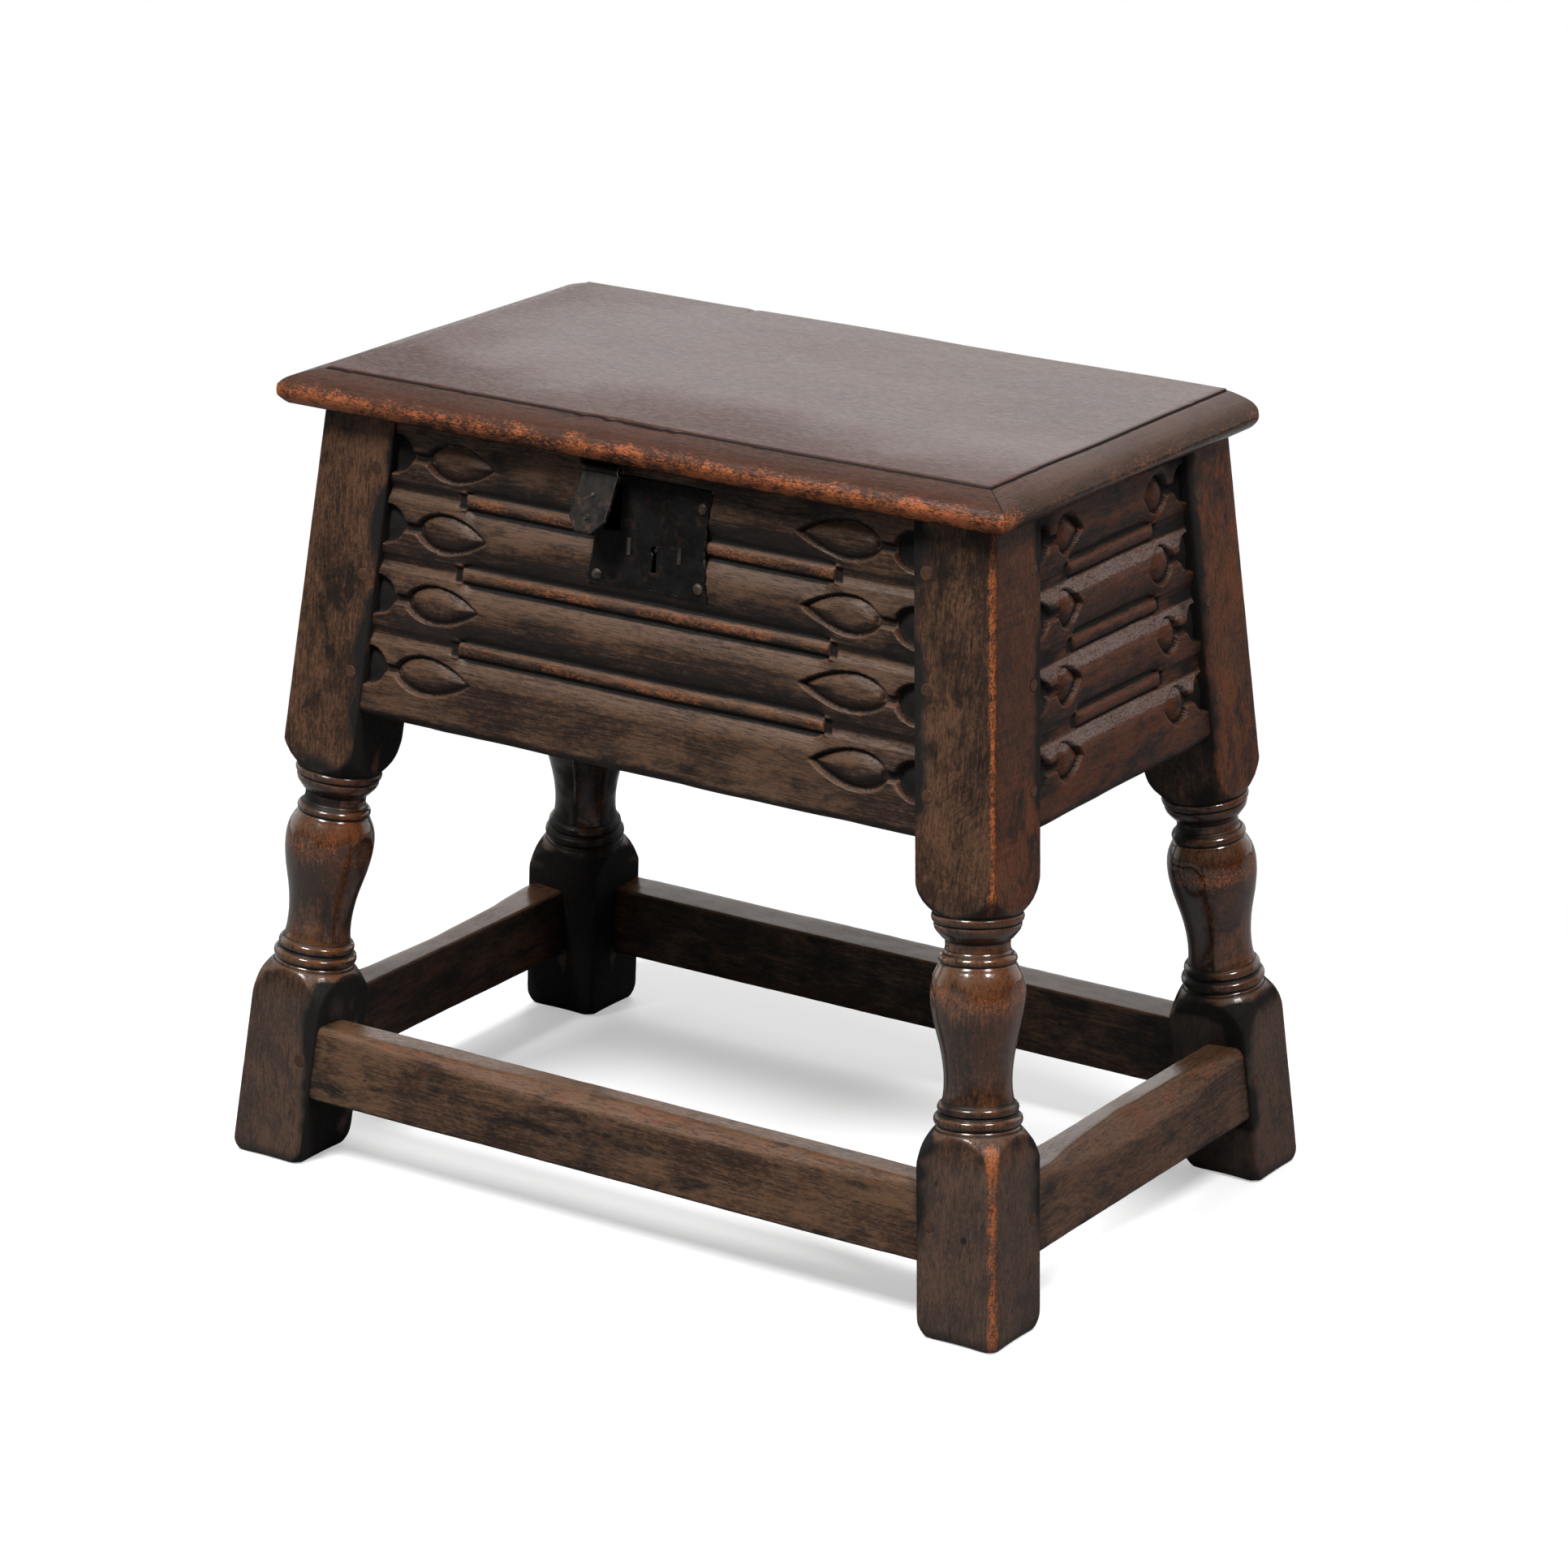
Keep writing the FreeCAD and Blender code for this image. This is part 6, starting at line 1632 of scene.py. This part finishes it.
def heads_piece(name, node, kind, rows, slot, finish, seed, change=0.1):
    """Heads of one kind at their spots in millimetres, made into one piece."""
    spots, ways = (np.array(v) for v in zip(*rows))
    points = bpy.data.meshes.new(name)
    points.from_pydata((spots * MM).tolist(), [], [])
    write_marks(points, out=ways)
    mesh = run_tree(name, points, set_heads, {
        "Head": heads[kind], "Size": 1.0, "Size Change": change, "Seed": seed, "Finish": finish})
    if "out" in mesh.attributes:
        mesh.attributes.remove(mesh.attributes["out"])
    co = points_of(mesh)
    write_marks(mesh, grain=co[:, [1, 2, 0]] + seed * 0.37)
    if kind == "peg":
        for title in ("grime", "rubbed"):
            mesh.attributes.remove(mesh.attributes[title])
        away = np.linalg.norm(co[:, None] - spots[None] * MM, axis=2).min(axis=1) / MM
        rim = ease(3.1, 3.7, away)
        at_end = co[:, 0] > 0.235
        # Pegs at the right end take the painted redder light of that side.
        write_marks(mesh, grime=rim * (0.45 + 0.45 * at_end), raised=0.45 + 0 * away,
                    rubbed=0.35 * rim * (co[:, 2] > 0.1), sunned=1.0 * at_end)
    return place(mesh, "box", [node], slot, finish)


def on_slope(side, along, height, depth):
    """A spot on a side's face at a height, and the way out of it."""
    c, s = math.cos(SIDES[side].cant), math.sin(SIDES[side].cant)
    spot = on_side(side, along, (height + depth * s) / c, depth)
    out = on_side(side, along, height / c, depth - 1.0) - on_side(side, along, height / c, depth)
    return spot, out


def pegs_at(heights):
    """Pegs through both legs of every side, at each height."""
    return [on_slope(name, hand * (side.along(height) - LEG_SECTION + PEG_IN), height, 0.0)
            for name, side in SIDES.items() for height in heights for hand in (-1, 1)]


# %% Where the nails and pegs are
PEG_IN = 9.0  # how far in from the shoulder a peg stands
PEG_SHARES = (0.18, 0.535, 0.86)  # of the rail's height, down from its top
PLATE_NAILS = ((-34.7, 445.9), (-30.9, 397.2), (38.8, 445.9), (38.8, 399.8))
heads_piece("nail_heads_plate", "plate_nails", "dome",
            [on_slope("front", x, z, SETBACK) for x, z in PLATE_NAILS], "iron", iron_nail, 3, 0.08)
heads_piece("cut_pegs_rails", "rail_pegs", "peg",
            pegs_at([LEG_TOP - (LEG_TOP - RAIL_FOOT) * share for share in PEG_SHARES]),
            "oak", oak_end, 5)
heads_piece("cut_pegs_stretchers", "stretcher_pegs", "peg",
            pegs_at([STRETCHER_FOOT + STRETCHER_SECTION[1] / 2]), "oak", oak_end, 7)

# %% [markdown]
# ## Hinges and the works of the lock
#
# The hinges, the lock's case and what moves in it keep the shapes that the construction gave
# them, because they are simple smith's work. They only take the iron finish.

# %% Finishes for the pieces that stay as constructed
for node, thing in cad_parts.items():
    if thing.hide_render or thing.type != "MESH":
        continue
    thing.data.materials.clear()
    thing.data.materials.append(iron_plate if "lock" in node or "hinge" in node else iron_nail)
    print("keeps its shape:", node)

# %% [markdown]
# ## A white studio
#
# The stool stands on a white floor in front of white paper. Both are white to the camera, while
# the light that reaches the wood comes from two soft lamps and a dimmer room, so that the wood
# keeps its depth. A weak lamp behind fills the back and leaves no gleam on the lid. The floor
# takes the shadow.

# %% Room, floor and lamps
CAMERA_AT = (1.76475, -2.71511, 1.3184)
FLOOR_HALF = 3000.0
WHITE = (1.0, 1.0, 1.0, 1.0)

scene = bpy.context.scene
scene.view_settings.view_transform = "Standard"
scene.world = bpy.data.worlds.new("white room")
scene.world.use_nodes = True
w = scene.world.node_tree
w.nodes.clear()
rays = add(w, "ShaderNodeLightPath")
glossy = rays["Is Glossy Ray"]
way = add(w, "ShaderNodeTexCoord")["Generated"]
up_way = add(w, "ShaderNodeSeparateXYZ", way)["Z"]
behind = (remap(vec("DOT_PRODUCT", way, (-0.543, 0.840, 0.0)), 0.05, 0.45)
          * remap(up_way, 0.75, 0.50))
seen = do("MAXIMUM", do("MAXIMUM", rays["Is Camera Ray"], rays["Is Transmission Ray"]),
          glossy * behind)
dim_level = (glossy * remap(up_way, 0.0, 0.9, 0.06, 0.24)
             + (1.0 - glossy) * remap(up_way, -0.1, 0.9, 0.20, 0.50))
add(w, "ShaderNodeOutputWorld",
    add(w, "ShaderNodeBackground", WHITE, seen + (1.0 - seen) * dim_level))

corners = [(-1, -1, 0), (1, -1, 0), (1, 1, 0), (-1, 1, 0)]
floor = bpy.data.objects.new("studio_floor", faces_mesh(
    "studio_floor", np.array(corners) * FLOOR_HALF, [(0, 1, 2, 3)]))
scene.collection.objects.link(floor)
paper, p = new_material("studio paper")
rays = add(p, "ShaderNodeLightPath")
unseen = blend(rays["Is Glossy Ray"], (0.30, 0.29, 0.28, 1.0), (0.18, 0.18, 0.18, 1.0))
spot = add(p, "ShaderNodeTexCoord")["Object"]
far = remap(vec("LENGTH", spot * (0.85, 1.15, 0.0)), 0.42, 0.80)
thin = (0.40 + far * 0.60) * rays["Is Camera Ray"]
sheet = add(p, "ShaderNodeBsdfPrincipled", named={
    "Base Color": blend(rays["Is Camera Ray"], unseen, (0.95, 0.95, 0.95, 1.0)),
    "Roughness": 1.0, "Specular IOR Level": 0.0, "Alpha": 1.0 - thin})
add(p, "ShaderNodeOutputMaterial", sheet)
floor.data.materials.append(paper)


def lamp(name, turn, lift, distance, size, power, mirrored=True):
    """Soft square lamp, turned from the camera's side and lifted, aimed at the stool."""
    data = bpy.data.lights.new(name, "AREA")
    data.shape, data.size, data.energy = "SQUARE", size, power
    made = bpy.data.objects.new(name, data)
    scene.collection.objects.link(made)
    side = math.atan2(CAMERA_AT[1], CAMERA_AT[0]) + math.radians(turn)
    up = math.radians(lift)
    way = mathutils.Vector((math.cos(side) * math.cos(up), math.sin(side) * math.cos(up),
                            math.sin(up)))
    made.location = way * distance + mathutils.Vector((0, 0, 0.25))
    made.rotation_euler = way.to_track_quat("Z", "Y").to_euler()
    made.visible_glossy = mirrored
    return made


lamp("window left", -42, 52, 2.4, 0.66, 84)
lamp("window right", 38, 50, 2.4, 0.58, 56)
lamp("far wall", 172, 42, 2.8, 1.3, 34, mirrored=False)

# %% [markdown]
# ## Where the viewer stands
#
# The viewer looks down a little at the front right corner, from far enough off that the stool
# keeps its proportions.

# %% Camera
LENS, ROLL = 130.9, math.radians(0.80)
camera_data = bpy.data.cameras.new("viewer")
camera_data.lens, camera_data.sensor_width, camera_data.clip_end = LENS, 36.0, 50.0
camera = bpy.data.objects.new("viewer", camera_data)
scene.collection.objects.link(camera)
forward = mathutils.Vector((-0.51500732, 0.79668975, -0.3163114))
right = mathutils.Vector((0.83980942, 0.54288133, 0.0))
upward = right.cross(forward)
across = right * math.cos(ROLL) + upward * math.sin(ROLL)
over = upward * math.cos(ROLL) - right * math.sin(ROLL)
turned = mathutils.Matrix((across, over, -forward)).transposed().to_4x4()
turned.translation = mathutils.Vector(CAMERA_AT)
camera.matrix_world = turned
scene.camera = camera
